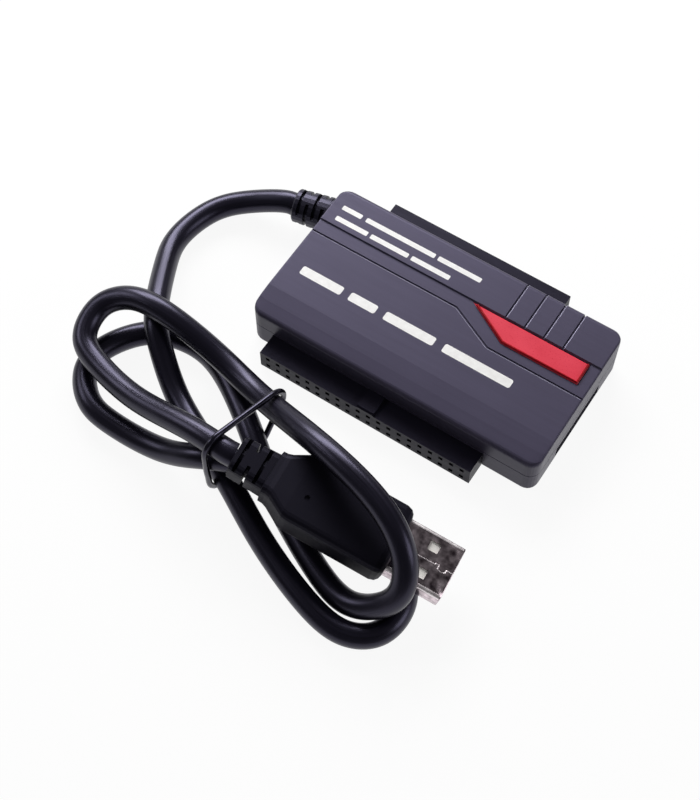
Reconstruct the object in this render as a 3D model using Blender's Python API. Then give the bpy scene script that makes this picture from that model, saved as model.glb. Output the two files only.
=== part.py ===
"""Drive adapter on a cord: a flat housing with a wide socket in front, a slim socket behind and a data
header at one end, and a tied cord that ends in a flat four-contact plug. Metres, +Z up, +X to the header."""

import math

import bmesh
import bpy
import numpy as np
from mathutils import Matrix, Vector

# Housing
BODY_LENGTH = 0.0700
BODY_WIDTH = 0.0372
FIELD_HEIGHT = 0.0118
STRIP_RISE = 0.0004
STRIP_WIDTH = 0.0103
FRONT_FALL = 0.0006
CREASE_FROM_FRONT = 0.0070
PARTING_HEIGHT = 0.0060
SEAM = 0.0002
WALL = 0.0016
FLOOR = 0.0015
CORNER_RADIUS = 0.0026
FRONT_EDGE_RADIUS = 0.0012
BACK_EDGE_RADIUS = 0.0012
END_EDGE_RADIUS = 0.0004
BOTTOM_EDGE_RADIUS = 0.0008
LIP_HEIGHT = 0.0008
LIP_WALL = 0.0007
FIT = 0.00015

# Lines and window on the top
GROOVE_WIDTH = 0.0005
GROOVE_DEPTH = 0.0003
GROOVE_LEFT_FROM_STRIP = 0.0032
GROOVE_RIGHT_FROM_STRIP = 0.0082
GROOVE_BEND_FROM_END = 0.0332
GROOVE_BEND_LENGTH = 0.0104
RIB_GROOVE_FROM_END = 0.02315
RIB_GROOVE_PITCH = 0.00462
RIB_GROOVES = 4
WINDOW_FROM_END = 0.0027
WINDOW_LENGTH = 0.0281
WINDOW_DEPTH = 0.0055
WINDOW_SLOPE = 0.0100
WINDOW_FLANGE = 0.0007

# Sockets and header
WIDE_LENGTH = 0.0522
WIDE_HEIGHT = 0.0051
WIDE_REACH = 0.0050
WIDE_X = -0.0032
WIDE_SEAT = 0.0019
WIDE_PITCH = 0.00254
WIDE_COLUMNS = 20
KEY_LENGTH = 0.0041
KEY_RISE = 0.0007
KEY_X = -0.0028
SLIM_LENGTH = 0.0444
SLIM_HEIGHT = 0.0040
SLIM_REACH = 0.0040
SLIM_X = -0.0021
SLIM_SEAT = 0.0018
SLIM_BOTTOM = 0.0047
SLIM_PITCH = 0.0020
SLIM_COLUMNS = 22
PIN_HOLE = 0.0010
PIN_DEPTH = 0.0035
HEADER_WIDTH = 0.0179
HEADER_HEIGHT = 0.0034
HEADER_BOTTOM = 0.00075
HEADER_DEPTH = 0.0085
HEADER_INSET = 0.0003
HEADER_WALL = 0.0007
HEADER_Y = 0.00055
HEADER_CONTACTS = 7
HEADER_PITCH = 0.00127

# Board and what it carries
BOARD_THICKNESS = 0.0012
BOARD_HEIGHT = 0.0019
CHIP_SIDE = 0.0120
CHIP_HEIGHT = 0.0014
BOARD_END_GAP = 0.0018
BOARD_BACK_GAP = 0.0006
BOARD_NOTCH_GAP = 0.0005
LAMP_FROM_END = 0.0027
LAMP_SPACING = 0.0073
SOLDER = 0.0001

# Screws
SCREW_FROM_END = 0.0050
SCREW_FROM_FRONT = 0.0071
SCREW_FROM_BACK = 0.0051
SCREW_HEAD_DIAMETER = 0.0038
SCREW_HEAD_HEIGHT = 0.0009
SCREW_SHAFT_DIAMETER = 0.0020
SCREW_LENGTH = 0.0070
BOSS_DIAMETER = 0.0046

# Cord, its reliefs and the tie
CORD_DIAMETER = 0.0052
CORD_SIDES = 10
CORD_STATIONS = 80
CORD_GAP = 0.0003
GLAND_FROM_BACK = 0.0048
GLAND_HEIGHT = 0.0061
GLAND_TURN = 12.0
GLAND_DIAMETER = 0.0082
GLAND_END_DIAMETER = 0.0076
GLAND_NECK_DIAMETER = 0.0060
GLAND_LENGTH = 0.0090
RING_PITCH = 0.0018
RING_SLOT = 0.0008
RELIEF_CORE = 0.0054
TIE_DIAMETER = 0.0013
TIE_ORIGIN = (-0.0200, -0.0303, 0.0)
TIE_TURN = -95.07

# Plug
PLUG_MOUTH = (0.0319, -0.0458, 0.0075)
PLUG_YAW = 5.6
PLUG_PITCH = 10.75
PLUG_WIDTH = 0.0155
PLUG_THICKNESS = 0.0080
PLUG_BODY = 0.0285
PLUG_SHOULDER = 0.0070
PLUG_NECK_WIDTH = 0.0100
PLUG_RELIEF_LENGTH = 0.0080
PLUG_RELIEF_WIDTH = 0.0086
PLUG_RELIEF_THICKNESS = 0.0064
PLUG_RELIEF_SLOTS = 3
SHELL_WIDTH = 0.0120
SHELL_THICKNESS = 0.0045
SHELL_REACH = 0.0120
SHELL_SEAT = 0.0040
SHELL_WALL = 0.0003
SHELL_HOLE = 0.0022
SHELL_HOLE_X = 0.0057
SHELL_HOLE_Y = 0.0030
TONGUE_THICKNESS = 0.0018
CONTACT_THICKNESS = 0.0003
CONTACT_WIDTH = 0.0010
CONTACT_LENGTH = 0.0080
CONTACT_PITCH = 0.0024

# Cord centre line in millimetres, from the housing's relief to the plug's
CORD_ROUTE = [
    (-54.5, 8.4, 3.8), (-60.2, 2.6, 2.8), (-62.3, -7.5, 3.0), (-59.5, -16.0, 4.6),
    (-52.0, -29.0, 8.2), (-48.0, -33.5, 7.4), (-39.5, -40.0, 4.0), (-29.5, -45.5, 4.0),
    (-16.5, -52.0, 4.2), (-5.0, -58.0, 3.0), (10.5, -64.2, 2.8), (19.9, -65.2, 2.7),
    (25.5, -61.5, 2.8), (26.5, -55.0, 3.0), (23.5, -49.5, 2.7), (16.5, -46.0, 3.0),
    (5.5, -44.5, 3.2), (-3.5, -45.5, 6.8), (-15.5, -48.5, 9.8), (-23.5, -51.5, 9.4),
    (-33.5, -53.0, 4.4), (-47.5, -53.0, 2.8), (-53.5, -51.5, 3.0), (-58.5, -46.5, 2.7),
    (-59.0, -40.5, 3.0), (-53.5, -31.5, 2.7), (-46.5, -28.5, 2.8), (-39.0, -28.5, 2.7),
    (-28.0, -34.0, 4.0), (-17.0, -42.0, 4.0), (-9.5, -47.5, 2.8), (6.5, -56.5, 2.8),
    (16.5, -60.0, 4.0), (22.5, -59.0, 7.2), (26.0, -56.0, 11.6), (25.0, -52.0, 16.4),
    (20.0, -48.0, 20.4), (11.0, -44.5, 22.2), (-2.0, -41.0, 20.8), (-14.5, -36.5, 14.0),
    (-24.5, -33.0, 9.6), (-35.0, -30.5, 9.8), (-48.0, -30.0, 13.8), (-56.5, -30.5, 13.0),
    (-61.0, -33.0, 11.2), (-62.5, -36.5, 9.8), (-61.0, -42.0, 8.6), (-54.5, -45.5, 8.4),
    (-42.0, -48.5, 10.6), (-26.5, -50.0, 15.8),
]

# Tie outline round the five strands, in millimetres across and up
TIE_LOOP = [
    (6.0, 0.92), (12.0, 0.84), (19.0, 0.92), (23.4, 2.6), (25.4, 8.0), (25.2, 13.0), (23.9, 18.4),
    (20.6, 20.8), (16.8, 19.8), (10.5, 17.6), (3.6, 14.6), (0.6, 12.0), (1.4, 7.6), (3.4, 2.8),
]

# Places that follow from the sizes
HALF_LENGTH = BODY_LENGTH / 2
FRONT_Y = -(WIDE_REACH + BODY_WIDTH + SLIM_REACH) / 2 + WIDE_REACH
BACK_Y = FRONT_Y + BODY_WIDTH
TOP = FIELD_HEIGHT + STRIP_RISE
STRIP_Y = BACK_Y - STRIP_WIDTH
CEILING = FIELD_HEIGHT - WALL
GROOVE_LEFT_Y = STRIP_Y - GROOVE_LEFT_FROM_STRIP
GROOVE_RIGHT_Y = STRIP_Y - GROOVE_RIGHT_FROM_STRIP
GROOVE_BEND_X = HALF_LENGTH - GROOVE_BEND_FROM_END
RIB_GROOVE_X = HALF_LENGTH - RIB_GROOVE_FROM_END
WINDOW_TIP_X = HALF_LENGTH - WINDOW_FROM_END - WINDOW_LENGTH
BOARD_TOP = BOARD_HEIGHT + BOARD_THICKNESS
WIDE_BACK_Y = FRONT_Y + WALL + WIDE_SEAT
SLIM_FRONT_Y = BACK_Y - WALL - SLIM_SEAT
HEADER_X = HALF_LENGTH - HEADER_INSET
BOARD_RIGHT_X = HEADER_X - HEADER_DEPTH - FIT
BOARD_LEFT_X = -HALF_LENGTH + WALL + BOARD_END_GAP
BOARD_FRONT_Y = WIDE_BACK_Y + FIT
BOARD_BACK_Y = BACK_Y - WALL - BOARD_BACK_GAP
GLAND_Y = BACK_Y - GLAND_FROM_BACK
SCREW_X = HALF_LENGTH - SCREW_FROM_END
SCREW_FRONT_Y = FRONT_Y + SCREW_FROM_FRONT
SCREW_BACK_Y = BACK_Y - SCREW_FROM_BACK


def clear_scene():
    for old in list(bpy.data.objects):
        bpy.data.objects.remove(old, do_unlink=True)


def make_collection(name):
    made = bpy.data.collections.new(name)
    bpy.context.scene.collection.children.link(made)
    return made


def material(name, colour, roughness, metallic=0.0, transmission=0.0):
    made = bpy.data.materials.new(name)
    made.use_nodes = True
    shader = made.node_tree.nodes["Principled BSDF"]
    shader.inputs["Base Color"].default_value = (*colour, 1.0)
    shader.inputs["Roughness"].default_value = roughness
    shader.inputs["Metallic"].default_value = metallic
    shader.inputs["Transmission Weight"].default_value = transmission
    made.diffuse_color = (*colour, 1.0)
    return made


def part(name, mesh, finish):
    made = bpy.data.objects.new(name, mesh)
    mesh.materials.clear()
    mesh.materials.append(finish)
    PARTS.objects.link(made)
    return made


def operand(part_object, mesh, operation):
    """A live exact Boolean on the part, with its operand kept among the cutters."""
    tool = bpy.data.objects.new(part_object.name + "_tool", mesh)
    CUTTERS.objects.link(tool)
    tool.hide_render = True
    tool.display_type = "WIRE"
    step = part_object.modifiers.new(operation.title(), "BOOLEAN")
    step.operation = operation
    step.solver = "EXACT"
    step.object = tool


def cut(part_object, *meshes):
    for mesh in meshes:
        operand(part_object, mesh, "DIFFERENCE")


def fuse(part_object, *meshes):
    for mesh in meshes:
        operand(part_object, mesh, "UNION")


def finish_mesh(build, name):
    bmesh.ops.recalc_face_normals(build, faces=build.faces)
    mesh = bpy.data.meshes.new(name)
    build.to_mesh(mesh)
    build.free()
    mesh.shade_smooth()
    mesh.set_sharp_from_angle(angle=math.radians(35))
    return mesh


def block(low, high, name="block"):
    """A box between two corners."""
    build = bmesh.new()
    bmesh.ops.create_cube(build, size=1.0)
    size = Vector(high) - Vector(low)
    middle = (Vector(high) + Vector(low)) / 2
    bmesh.ops.scale(build, vec=size, verts=build.verts)
    bmesh.ops.translate(build, vec=middle, verts=build.verts)
    return finish_mesh(build, name)


def blocks(corners, name="blocks"):
    """Separate boxes in one mesh, for a pattern of cuts."""
    build = bmesh.new()
    for low, high in corners:
        made = bmesh.ops.create_cube(build, size=1.0)["verts"]
        bmesh.ops.scale(build, vec=Vector(high) - Vector(low), verts=made)
        bmesh.ops.translate(build, vec=(Vector(high) + Vector(low)) / 2, verts=made)
    return finish_mesh(build, name)


def prism(outline, low, high, axis="Z", name="prism"):
    """A flat outline pushed along an axis: X takes (y, z) points, Y takes (x, z) and Z takes (x, y)."""
    place = {
        "X": lambda a, b, c: (c, a, b),
        "Y": lambda a, b, c: (a, c, b),
        "Z": lambda a, b, c: (a, b, c),
    }[axis]
    build = bmesh.new()
    face = build.faces.new([build.verts.new(place(a, b, low)) for a, b in outline])
    pushed = bmesh.ops.extrude_face_region(build, geom=[face])["geom"]
    rise = Vector(place(0.0, 0.0, high - low))
    bmesh.ops.translate(build, vec=rise, verts=[v for v in pushed if isinstance(v, bmesh.types.BMVert)])
    return finish_mesh(build, name)


def loft(rings, name="loft"):
    """A closed skin over rings of equally many points, with flat ends."""
    build = bmesh.new()
    rows = [[build.verts.new(point) for point in ring] for ring in rings]
    for lower, upper in zip(rows, rows[1:]):
        for i in range(len(lower)):
            j = (i + 1) % len(lower)
            build.faces.new((lower[i], lower[j], upper[j], upper[i]))
    build.faces.new(reversed(rows[0]))
    build.faces.new(rows[-1])
    return finish_mesh(build, name)


def moved(mesh, matrix):
    mesh.transform(matrix)
    return mesh


def arc(centre, radius, start, end, steps):
    return [
        (centre[0] + radius * math.cos(math.radians(a)), centre[1] + radius * math.sin(math.radians(a)))
        for a in np.linspace(start, end, steps + 1)
    ]


def rounded_rectangle(x0, x1, y0, y1, radius, steps=6):
    corners = [(x1 - radius, y0 + radius, -90), (x1 - radius, y1 - radius, 0),
               (x0 + radius, y1 - radius, 90), (x0 + radius, y0 + radius, 180)]
    return [p for x, y, a in corners for p in arc((x, y), radius, a, a + 90, steps)]


def lathe(profile, sides, name="lathe"):
    """A solid of revolution round X from (x, radius) points."""
    turn = [2 * math.pi * k / sides for k in range(sides)]
    rings = [[(x, r * math.cos(t), r * math.sin(t)) for t in turn] for x, r in profile]
    return loft(rings, name)


def plan(inset, z, steps=6):
    """The housing's rounded outline, drawn in by an inset, at one height."""
    outline = rounded_rectangle(
        -HALF_LENGTH + inset, HALF_LENGTH - inset, FRONT_Y + inset, BACK_Y - inset,
        max(CORNER_RADIUS - inset, 0.0004), steps,
    )
    return [(x, y, z) for x, y in outline]


def top_profile():
    """The upper half's section across the housing, from the front seam over the top to the back seam."""
    low = PARTING_HEIGHT + SEAM / 2
    front_top = FIELD_HEIGHT - FRONT_FALL
    front = arc((FRONT_Y + FRONT_EDGE_RADIUS, front_top - FRONT_EDGE_RADIUS), FRONT_EDGE_RADIUS, 180, 90, 5)
    back = arc((BACK_Y - BACK_EDGE_RADIUS, TOP - BACK_EDGE_RADIUS), BACK_EDGE_RADIUS, 90, 0, 6)
    middle = [
        (FRONT_Y + CREASE_FROM_FRONT / 2, front_top + FRONT_FALL * 0.55),
        (FRONT_Y + CREASE_FROM_FRONT, FIELD_HEIGHT),
        (STRIP_Y, FIELD_HEIGHT),
        (STRIP_Y + STRIP_RISE / 2, TOP),
    ]
    return [(FRONT_Y, low)] + front + middle + back + [(BACK_Y, low)]


def top_skin():
    """The upper half as a loft of its section, rounded in plan and at its end edges."""
    turns = [CORNER_RADIUS * (1 - math.cos(math.radians(a))) for a in range(0, 91, 15)]
    edges = [END_EDGE_RADIUS * (1 - math.cos(math.radians(a))) for a in (30, 60, 90)]
    depths = sorted(set(turns + edges))
    reach = CORNER_RADIUS + 0.0020
    low = PARTING_HEIGHT + SEAM / 2
    rings = []
    for side in (-1, 1):
        for depth in depths if side < 0 else reversed(depths):
            inset = CORNER_RADIUS - math.sqrt(max(CORNER_RADIUS**2 - (CORNER_RADIUS - depth) ** 2, 0))
            near = min(depth, END_EDGE_RADIUS)
            drop = END_EDGE_RADIUS - math.sqrt(END_EDGE_RADIUS**2 - (END_EDGE_RADIUS - near) ** 2)
            ring = []
            for y, z in top_profile():
                y += inset * max(0.0, 1 - (y - FRONT_Y) / reach)
                y -= inset * max(0.0, 1 - (BACK_Y - y) / reach)
                ring.append((side * (HALF_LENGTH - depth), y, z - drop * (z - low) / (TOP - low)))
            rings.append(ring)
    return loft(rings, "upper_shell")


def groove_cut():
    """The line that runs the top's length and steps forward at the window."""
    half = GROOVE_WIDTH / 2
    bend = (GROOVE_BEND_X, GROOVE_BEND_X + GROOVE_BEND_LENGTH)
    shift = half * math.tan(math.atan2(GROOVE_LEFT_Y - GROOVE_RIGHT_Y, GROOVE_BEND_LENGTH) / 2)
    end = HALF_LENGTH + 0.001
    upper = [(-end, GROOVE_LEFT_Y + half), (bend[0] + shift, GROOVE_LEFT_Y + half),
             (bend[1] + shift, GROOVE_RIGHT_Y + half), (end, GROOVE_RIGHT_Y + half)]
    lower = [(end, GROOVE_RIGHT_Y - half), (bend[1] - shift, GROOVE_RIGHT_Y - half),
             (bend[0] - shift, GROOVE_LEFT_Y - half), (-end, GROOVE_LEFT_Y - half)]
    return prism(upper + lower, FIELD_HEIGHT - GROOVE_DEPTH, TOP + 0.001, name="groove")


def rib_groove_cuts():
    """Short grooves across the raised strip that run on over the back edge."""
    centre = (BACK_Y - BACK_EDGE_RADIUS, TOP - BACK_EDGE_RADIUS)
    inner = arc(centre, BACK_EDGE_RADIUS - GROOVE_DEPTH, 90, 0, 6)
    out = 0.001
    outline = [(STRIP_Y - out, TOP - GROOVE_DEPTH)] + inner
    outline += [(BACK_Y - GROOVE_DEPTH, PARTING_HEIGHT - out), (BACK_Y + out, PARTING_HEIGHT - out)]
    outline += [(BACK_Y + out, TOP + out), (STRIP_Y - out, TOP + out)]
    for k in range(RIB_GROOVES):
        x = RIB_GROOVE_X + k * RIB_GROOVE_PITCH
        yield prism(outline, x - GROOVE_WIDTH / 2, x + GROOVE_WIDTH / 2, "X", "rib_groove")


def window_outline(grow):
    """The window's four-cornered outline in front of the raised strip, grown outward by a margin."""
    back = STRIP_Y - 0.0002 + grow
    front = STRIP_Y - 0.0002 - WINDOW_DEPTH - grow
    left = WINDOW_TIP_X - grow
    right = WINDOW_TIP_X + WINDOW_LENGTH + grow
    return [(left - grow, back), (left + WINDOW_SLOPE, front), (right, front), (right, back)]


def socket_box(x, length, y0, y1, z0, height, grow):
    return ((x - length / 2 - grow, y0, z0 - grow), (x + length / 2 + grow, y1, z0 + height + grow))


def openings():
    """The cuts that both halves of the housing share."""
    out = 0.002
    wide = socket_box(WIDE_X, WIDE_LENGTH, FRONT_Y - out, WIDE_BACK_Y + FIT, 0.0, WIDE_HEIGHT, FIT)
    slim = socket_box(SLIM_X, SLIM_LENGTH, SLIM_FRONT_Y - FIT, BACK_Y + out, SLIM_BOTTOM, SLIM_HEIGHT, FIT)
    half = HEADER_WIDTH / 2 + FIT
    header = (
        (HEADER_X - HEADER_DEPTH - FIT, HEADER_Y - half, HEADER_BOTTOM - FIT),
        (HALF_LENGTH + out, HEADER_Y + half, HEADER_BOTTOM + HEADER_HEIGHT + FIT),
    )
    yield block(*wide, name="wide_opening")
    yield block(*slim, name="slim_opening")
    yield block(*header, name="header_opening")
    ring = GLAND_NECK_DIAMETER / 2 + FIT
    hole = lathe([(-HALF_LENGTH - out, ring), (-HALF_LENGTH + WALL + out, ring)], 24, "gland_opening")
    yield moved(hole, Matrix.Translation((0, GLAND_Y, GLAND_HEIGHT)))


def upright(x, y, radius, low, high, sides=20):
    """A round post or hole along Z."""
    mesh = lathe([(low, radius), (high, radius)], sides, "post")
    return moved(mesh, Matrix.Translation((x, y, 0)) @ Matrix.Rotation(-math.pi / 2, 4, "Y"))


def screw_places():
    return [(-SCREW_X, SCREW_FRONT_Y), (SCREW_X, SCREW_BACK_Y)]


def build_housing():
    upper = part("upper_shell", top_skin(), SHELL_PLASTIC)
    inner = [(x, y) for x, y, _ in plan(WALL, 0.0)]
    rebate = [(x, y) for x, y, _ in plan(WALL - LIP_WALL - FIT, 0.0)]
    low = PARTING_HEIGHT - 0.001
    cut(upper, prism(inner, low, CEILING, name="upper_hollow"))
    cut(upper, prism(rebate, low, PARTING_HEIGHT + LIP_HEIGHT + SEAM, name="rebate"))
    boss_low = BOARD_HEIGHT + 2 * SEAM
    for x, y in screw_places():
        fuse(upper, upright(x, y, BOSS_DIAMETER / 2, boss_low + 0.0014, CEILING + 0.0004))
        cut(upper, upright(x, y, SCREW_SHAFT_DIAMETER / 2 + FIT, boss_low, SCREW_LENGTH + 0.0012, 16))
    cut(upper, groove_cut(), *rib_groove_cuts())
    cut(upper, prism(window_outline(FIT), CEILING - 0.001, TOP + 0.001, name="window_opening"))
    cut(upper, *openings())

    edge = [BOTTOM_EDGE_RADIUS * (1 - math.cos(math.radians(a))) for a in (0, 30, 60, 90)]
    rings = [plan(BOTTOM_EDGE_RADIUS - math.sqrt(BOTTOM_EDGE_RADIUS**2 - (BOTTOM_EDGE_RADIUS - z) ** 2), z)
             for z in edge]
    seam = PARTING_HEIGHT - SEAM / 2
    lip = WALL - LIP_WALL
    rings += [plan(0, seam), plan(lip, seam), plan(lip, PARTING_HEIGHT + LIP_HEIGHT)]
    lower = part("lower_shell", loft(rings, "lower_shell"), SHELL_PLASTIC)
    cut(lower, prism(inner, FLOOR, PARTING_HEIGHT + 0.002, name="lower_hollow"))
    for x in (-BODY_LENGTH / 4, 0.0, BODY_LENGTH / 5):
        rib = block((x - 0.0005, WIDE_BACK_Y + 0.002, FLOOR - 0.0005),
                    (x + 0.0005, SLIM_FRONT_Y - 0.002, BOARD_HEIGHT - SOLDER))
        fuse(lower, rib)
    for x, y in screw_places():
        fuse(lower, upright(x, y, BOSS_DIAMETER / 2, FLOOR - 0.0005, boss_low + 0.0014 - SEAM))
        cut(lower, upright(x, y, SCREW_HEAD_DIAMETER / 2 + FIT, -0.001, SCREW_HEAD_HEIGHT + FIT, 24))
        cut(lower, upright(x, y, SCREW_SHAFT_DIAMETER / 2 + FIT, -0.001, boss_low + 0.003, 16))
    cut(lower, *openings())

    for index, (x, y) in enumerate(screw_places(), 1):
        head = SCREW_HEAD_DIAMETER / 2
        shaft = SCREW_SHAFT_DIAMETER / 2
        profile = [(0.0002, head - 0.0003), (0.0004, head), (SCREW_HEAD_HEIGHT, head),
                   (SCREW_HEAD_HEIGHT, shaft), (SCREW_LENGTH - 0.0006, shaft), (SCREW_LENGTH, shaft * 0.4)]
        screw = part(f"housing_screw_{index}", lathe(profile, 20, "screw"), STEEL)
        moved(screw.data, Matrix.Translation((x, y, 0)) @ Matrix.Rotation(-math.pi / 2, 4, "Y"))
        arm = head * 0.55
        for a, b in ((arm, 0.0003), (0.0003, arm)):
            cut(screw, block((x - a, y - b, -0.001), (x + a, y + b, SCREW_HEAD_HEIGHT * 0.7)))


def build_window():
    """The red insert fills its opening and hangs by a flange under the top."""
    window = part("indicator_window", prism(window_outline(0), CEILING - 0.0002, FIELD_HEIGHT + 0.0002), WINDOW_RED)
    flange = prism(window_outline(WINDOW_FLANGE), CEILING - 0.0008, CEILING - SOLDER, name="flange")
    fuse(window, flange)


def pin_holes(x, pitch, columns, rows, z, face_y, inward):
    """Square blind holes of a socket's mating face."""
    half = PIN_HOLE / 2 * min(1.0, pitch / WIDE_PITCH)
    for row in rows:
        for k in range(columns):
            cx = x + (k - (columns - 1) / 2) * pitch
            ys = sorted((face_y - inward * 0.0005, face_y + inward * PIN_DEPTH))
            yield (cx - half, ys[0], z + row - half), (cx + half, ys[1], z + row + half)


def build_sockets():
    face = FRONT_Y - WIDE_REACH
    wide = part(
        "wide_socket", block(*socket_box(WIDE_X, WIDE_LENGTH, face, WIDE_BACK_Y, 0.0, WIDE_HEIGHT, 0)), SOCKET_PLASTIC
    )
    key = prism(
        [(face, WIDE_HEIGHT - 0.0005), (FRONT_Y - FIT, WIDE_HEIGHT - 0.0005), (FRONT_Y - FIT, WIDE_HEIGHT + KEY_RISE),
         (face + 0.0004, WIDE_HEIGHT + KEY_RISE), (face, WIDE_HEIGHT + KEY_RISE - 0.0004)],
        KEY_X - KEY_LENGTH / 2, KEY_X + KEY_LENGTH / 2, "X", "key",
    )
    fuse(wide, key)
    rows = (-WIDE_PITCH / 2, WIDE_PITCH / 2)
    cut(wide, blocks(pin_holes(WIDE_X, WIDE_PITCH, WIDE_COLUMNS, rows, WIDE_HEIGHT / 2, face, 1)))

    face = BACK_Y + SLIM_REACH
    slim = part(
        "slim_socket",
        block(*socket_box(SLIM_X, SLIM_LENGTH, SLIM_FRONT_Y, face, SLIM_BOTTOM, SLIM_HEIGHT, 0)), SOCKET_PLASTIC
    )
    for side in (-1, 1):
        x = SLIM_X + side * (SLIM_LENGTH / 2 - 0.001)
        foot = block((x - 0.001, SLIM_FRONT_Y, BOARD_TOP + SOLDER), (x + 0.001, BACK_Y - WALL - 0.0004, SLIM_BOTTOM + 0.001))
        fuse(slim, foot)
    rows = (-SLIM_PITCH / 2, SLIM_PITCH / 2)
    middle = SLIM_BOTTOM + SLIM_HEIGHT / 2
    cut(slim, blocks(pin_holes(SLIM_X, SLIM_PITCH, SLIM_COLUMNS, rows, middle, face, -1)))


def build_header():
    """The data header: a shroud open to the end, with a keyed blade that carries seven contacts."""
    x0 = HEADER_X - HEADER_DEPTH
    low = HEADER_BOTTOM
    high = HEADER_BOTTOM + HEADER_HEIGHT
    half = HEADER_WIDTH / 2
    header = part("data_header", block((x0, HEADER_Y - half, low), (HEADER_X, HEADER_Y + half, high)), SOCKET_PLASTIC)
    depth = HEADER_DEPTH - 0.0022
    cut(header, block((HEADER_X - depth, HEADER_Y - half + HEADER_WALL, low + HEADER_WALL),
                      (HEADER_X + 0.001, HEADER_Y + half - HEADER_WALL, high - HEADER_WALL)))
    blade_half = HEADER_CONTACTS * HEADER_PITCH / 2 + 0.0008
    blade_top = low + HEADER_WALL + 0.0008
    outline = [(HEADER_Y - blade_half, low + 0.0002), (HEADER_Y + blade_half, low + 0.0002),
               (HEADER_Y + blade_half, blade_top + 0.0005), (HEADER_Y + blade_half - 0.0008, blade_top + 0.0005),
               (HEADER_Y + blade_half - 0.0008, blade_top), (HEADER_Y - blade_half, blade_top)]
    fuse(header, prism(outline, x0 + 0.001, HEADER_X - 0.0006, "X", "blade"))
    for k in range(HEADER_CONTACTS):
        y = HEADER_Y + (k - (HEADER_CONTACTS - 1) / 2) * HEADER_PITCH - 0.0003
        contact = block((HEADER_X - depth + SOLDER, y - 0.0003, blade_top + SOLDER / 2),
                        (HEADER_X - 0.0009, y + 0.0003, blade_top + 0.0002))
        part(f"data_contact_{k + 1}", contact, GOLD)


def build_board():
    notch_x = -SCREW_X + BOSS_DIAMETER / 2 + BOARD_NOTCH_GAP
    notch_y = SCREW_FRONT_Y + BOSS_DIAMETER / 2 + BOARD_NOTCH_GAP
    outline = [(notch_x, BOARD_FRONT_Y), (BOARD_RIGHT_X, BOARD_FRONT_Y), (BOARD_RIGHT_X, BOARD_BACK_Y),
               (BOARD_LEFT_X, BOARD_BACK_Y), (BOARD_LEFT_X, notch_y), (notch_x, notch_y)]
    part("circuit_board", prism(outline, BOARD_HEIGHT, BOARD_TOP), BOARD_GREEN)
    seat = BOARD_TOP + SOLDER
    # Places are shares of the board's length and width, and sizes shares of the large chip's side and height
    layout = [
        ("bridge_chip", 0.479, 0.365, 1.0, 1.0, 1.0, CHIP_BLACK),
        ("memory_chip", 0.756, 0.206, 0.417, 0.333, 1.071, CHIP_BLACK),
        ("regulator", 0.193, 0.716, 0.542, 0.292, 1.143, CHIP_BLACK),
        ("crystal_can", 0.271, 0.222, 0.375, 0.833, 2.429, STEEL),
        ("capacitor_1", 0.097, 0.477, 0.292, 0.233, 1.357, CAPACITOR_TAN),
        ("capacitor_2", 0.739, 0.461, 0.292, 0.233, 1.357, CAPACITOR_TAN),
        ("capacitor_3", 0.921, 0.317, 0.167, 0.1, 0.714, CAPACITOR_TAN),
    ]
    for name, along, back, length, width, height, finish in layout:
        x = BOARD_LEFT_X + along * (BOARD_RIGHT_X - BOARD_LEFT_X)
        y = BOARD_FRONT_Y + back * (BOARD_BACK_Y - BOARD_FRONT_Y)
        length, width, height = length * CHIP_SIDE, width * CHIP_SIDE, height * CHIP_HEIGHT
        edge = min(length, width) * 0.08
        outline = rounded_rectangle(x - length / 2, x + length / 2, y - width / 2, y + width / 2, edge, 2)
        rings = [[(px, py, z) for px, py in outline] for z in (seat, seat + height - edge)]
        rings.append([(x + (px - x) * 0.94, y + (py - y) * 0.94, seat + height) for px, py in outline])
        part(name, loft(rings, name), finish)
    for index in range(2):
        x = BOARD_RIGHT_X - LAMP_FROM_END - (1 - index) * LAMP_SPACING
        y = STRIP_Y - WINDOW_DEPTH / 2
        lamp = lathe([(0, 0.0009), (0.0008, 0.0009), (0.0012, 0.0006), (0.0014, 0.0002)], 16, "lamp")
        lamp = moved(lamp, Matrix.Translation((x, y, seat)) @ Matrix.Rotation(-math.pi / 2, 4, "Y"))
        part(f"indicator_lamp_{index + 1}", lamp, LAMP_CLEAR)


def slot_cut(station, width, centre_angle, half_angle, outer, core):
    """One side of a relief's ring slot: a sector between the core and the outside, across local X."""
    sector = arc((0, 0), outer, centre_angle - half_angle, centre_angle + half_angle, 8)
    sector += arc((0, 0), core / 2, centre_angle + half_angle, centre_angle - half_angle, 6)
    return prism(sector, station - width / 2, station + width / 2, "X", "ring_slot")


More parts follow.
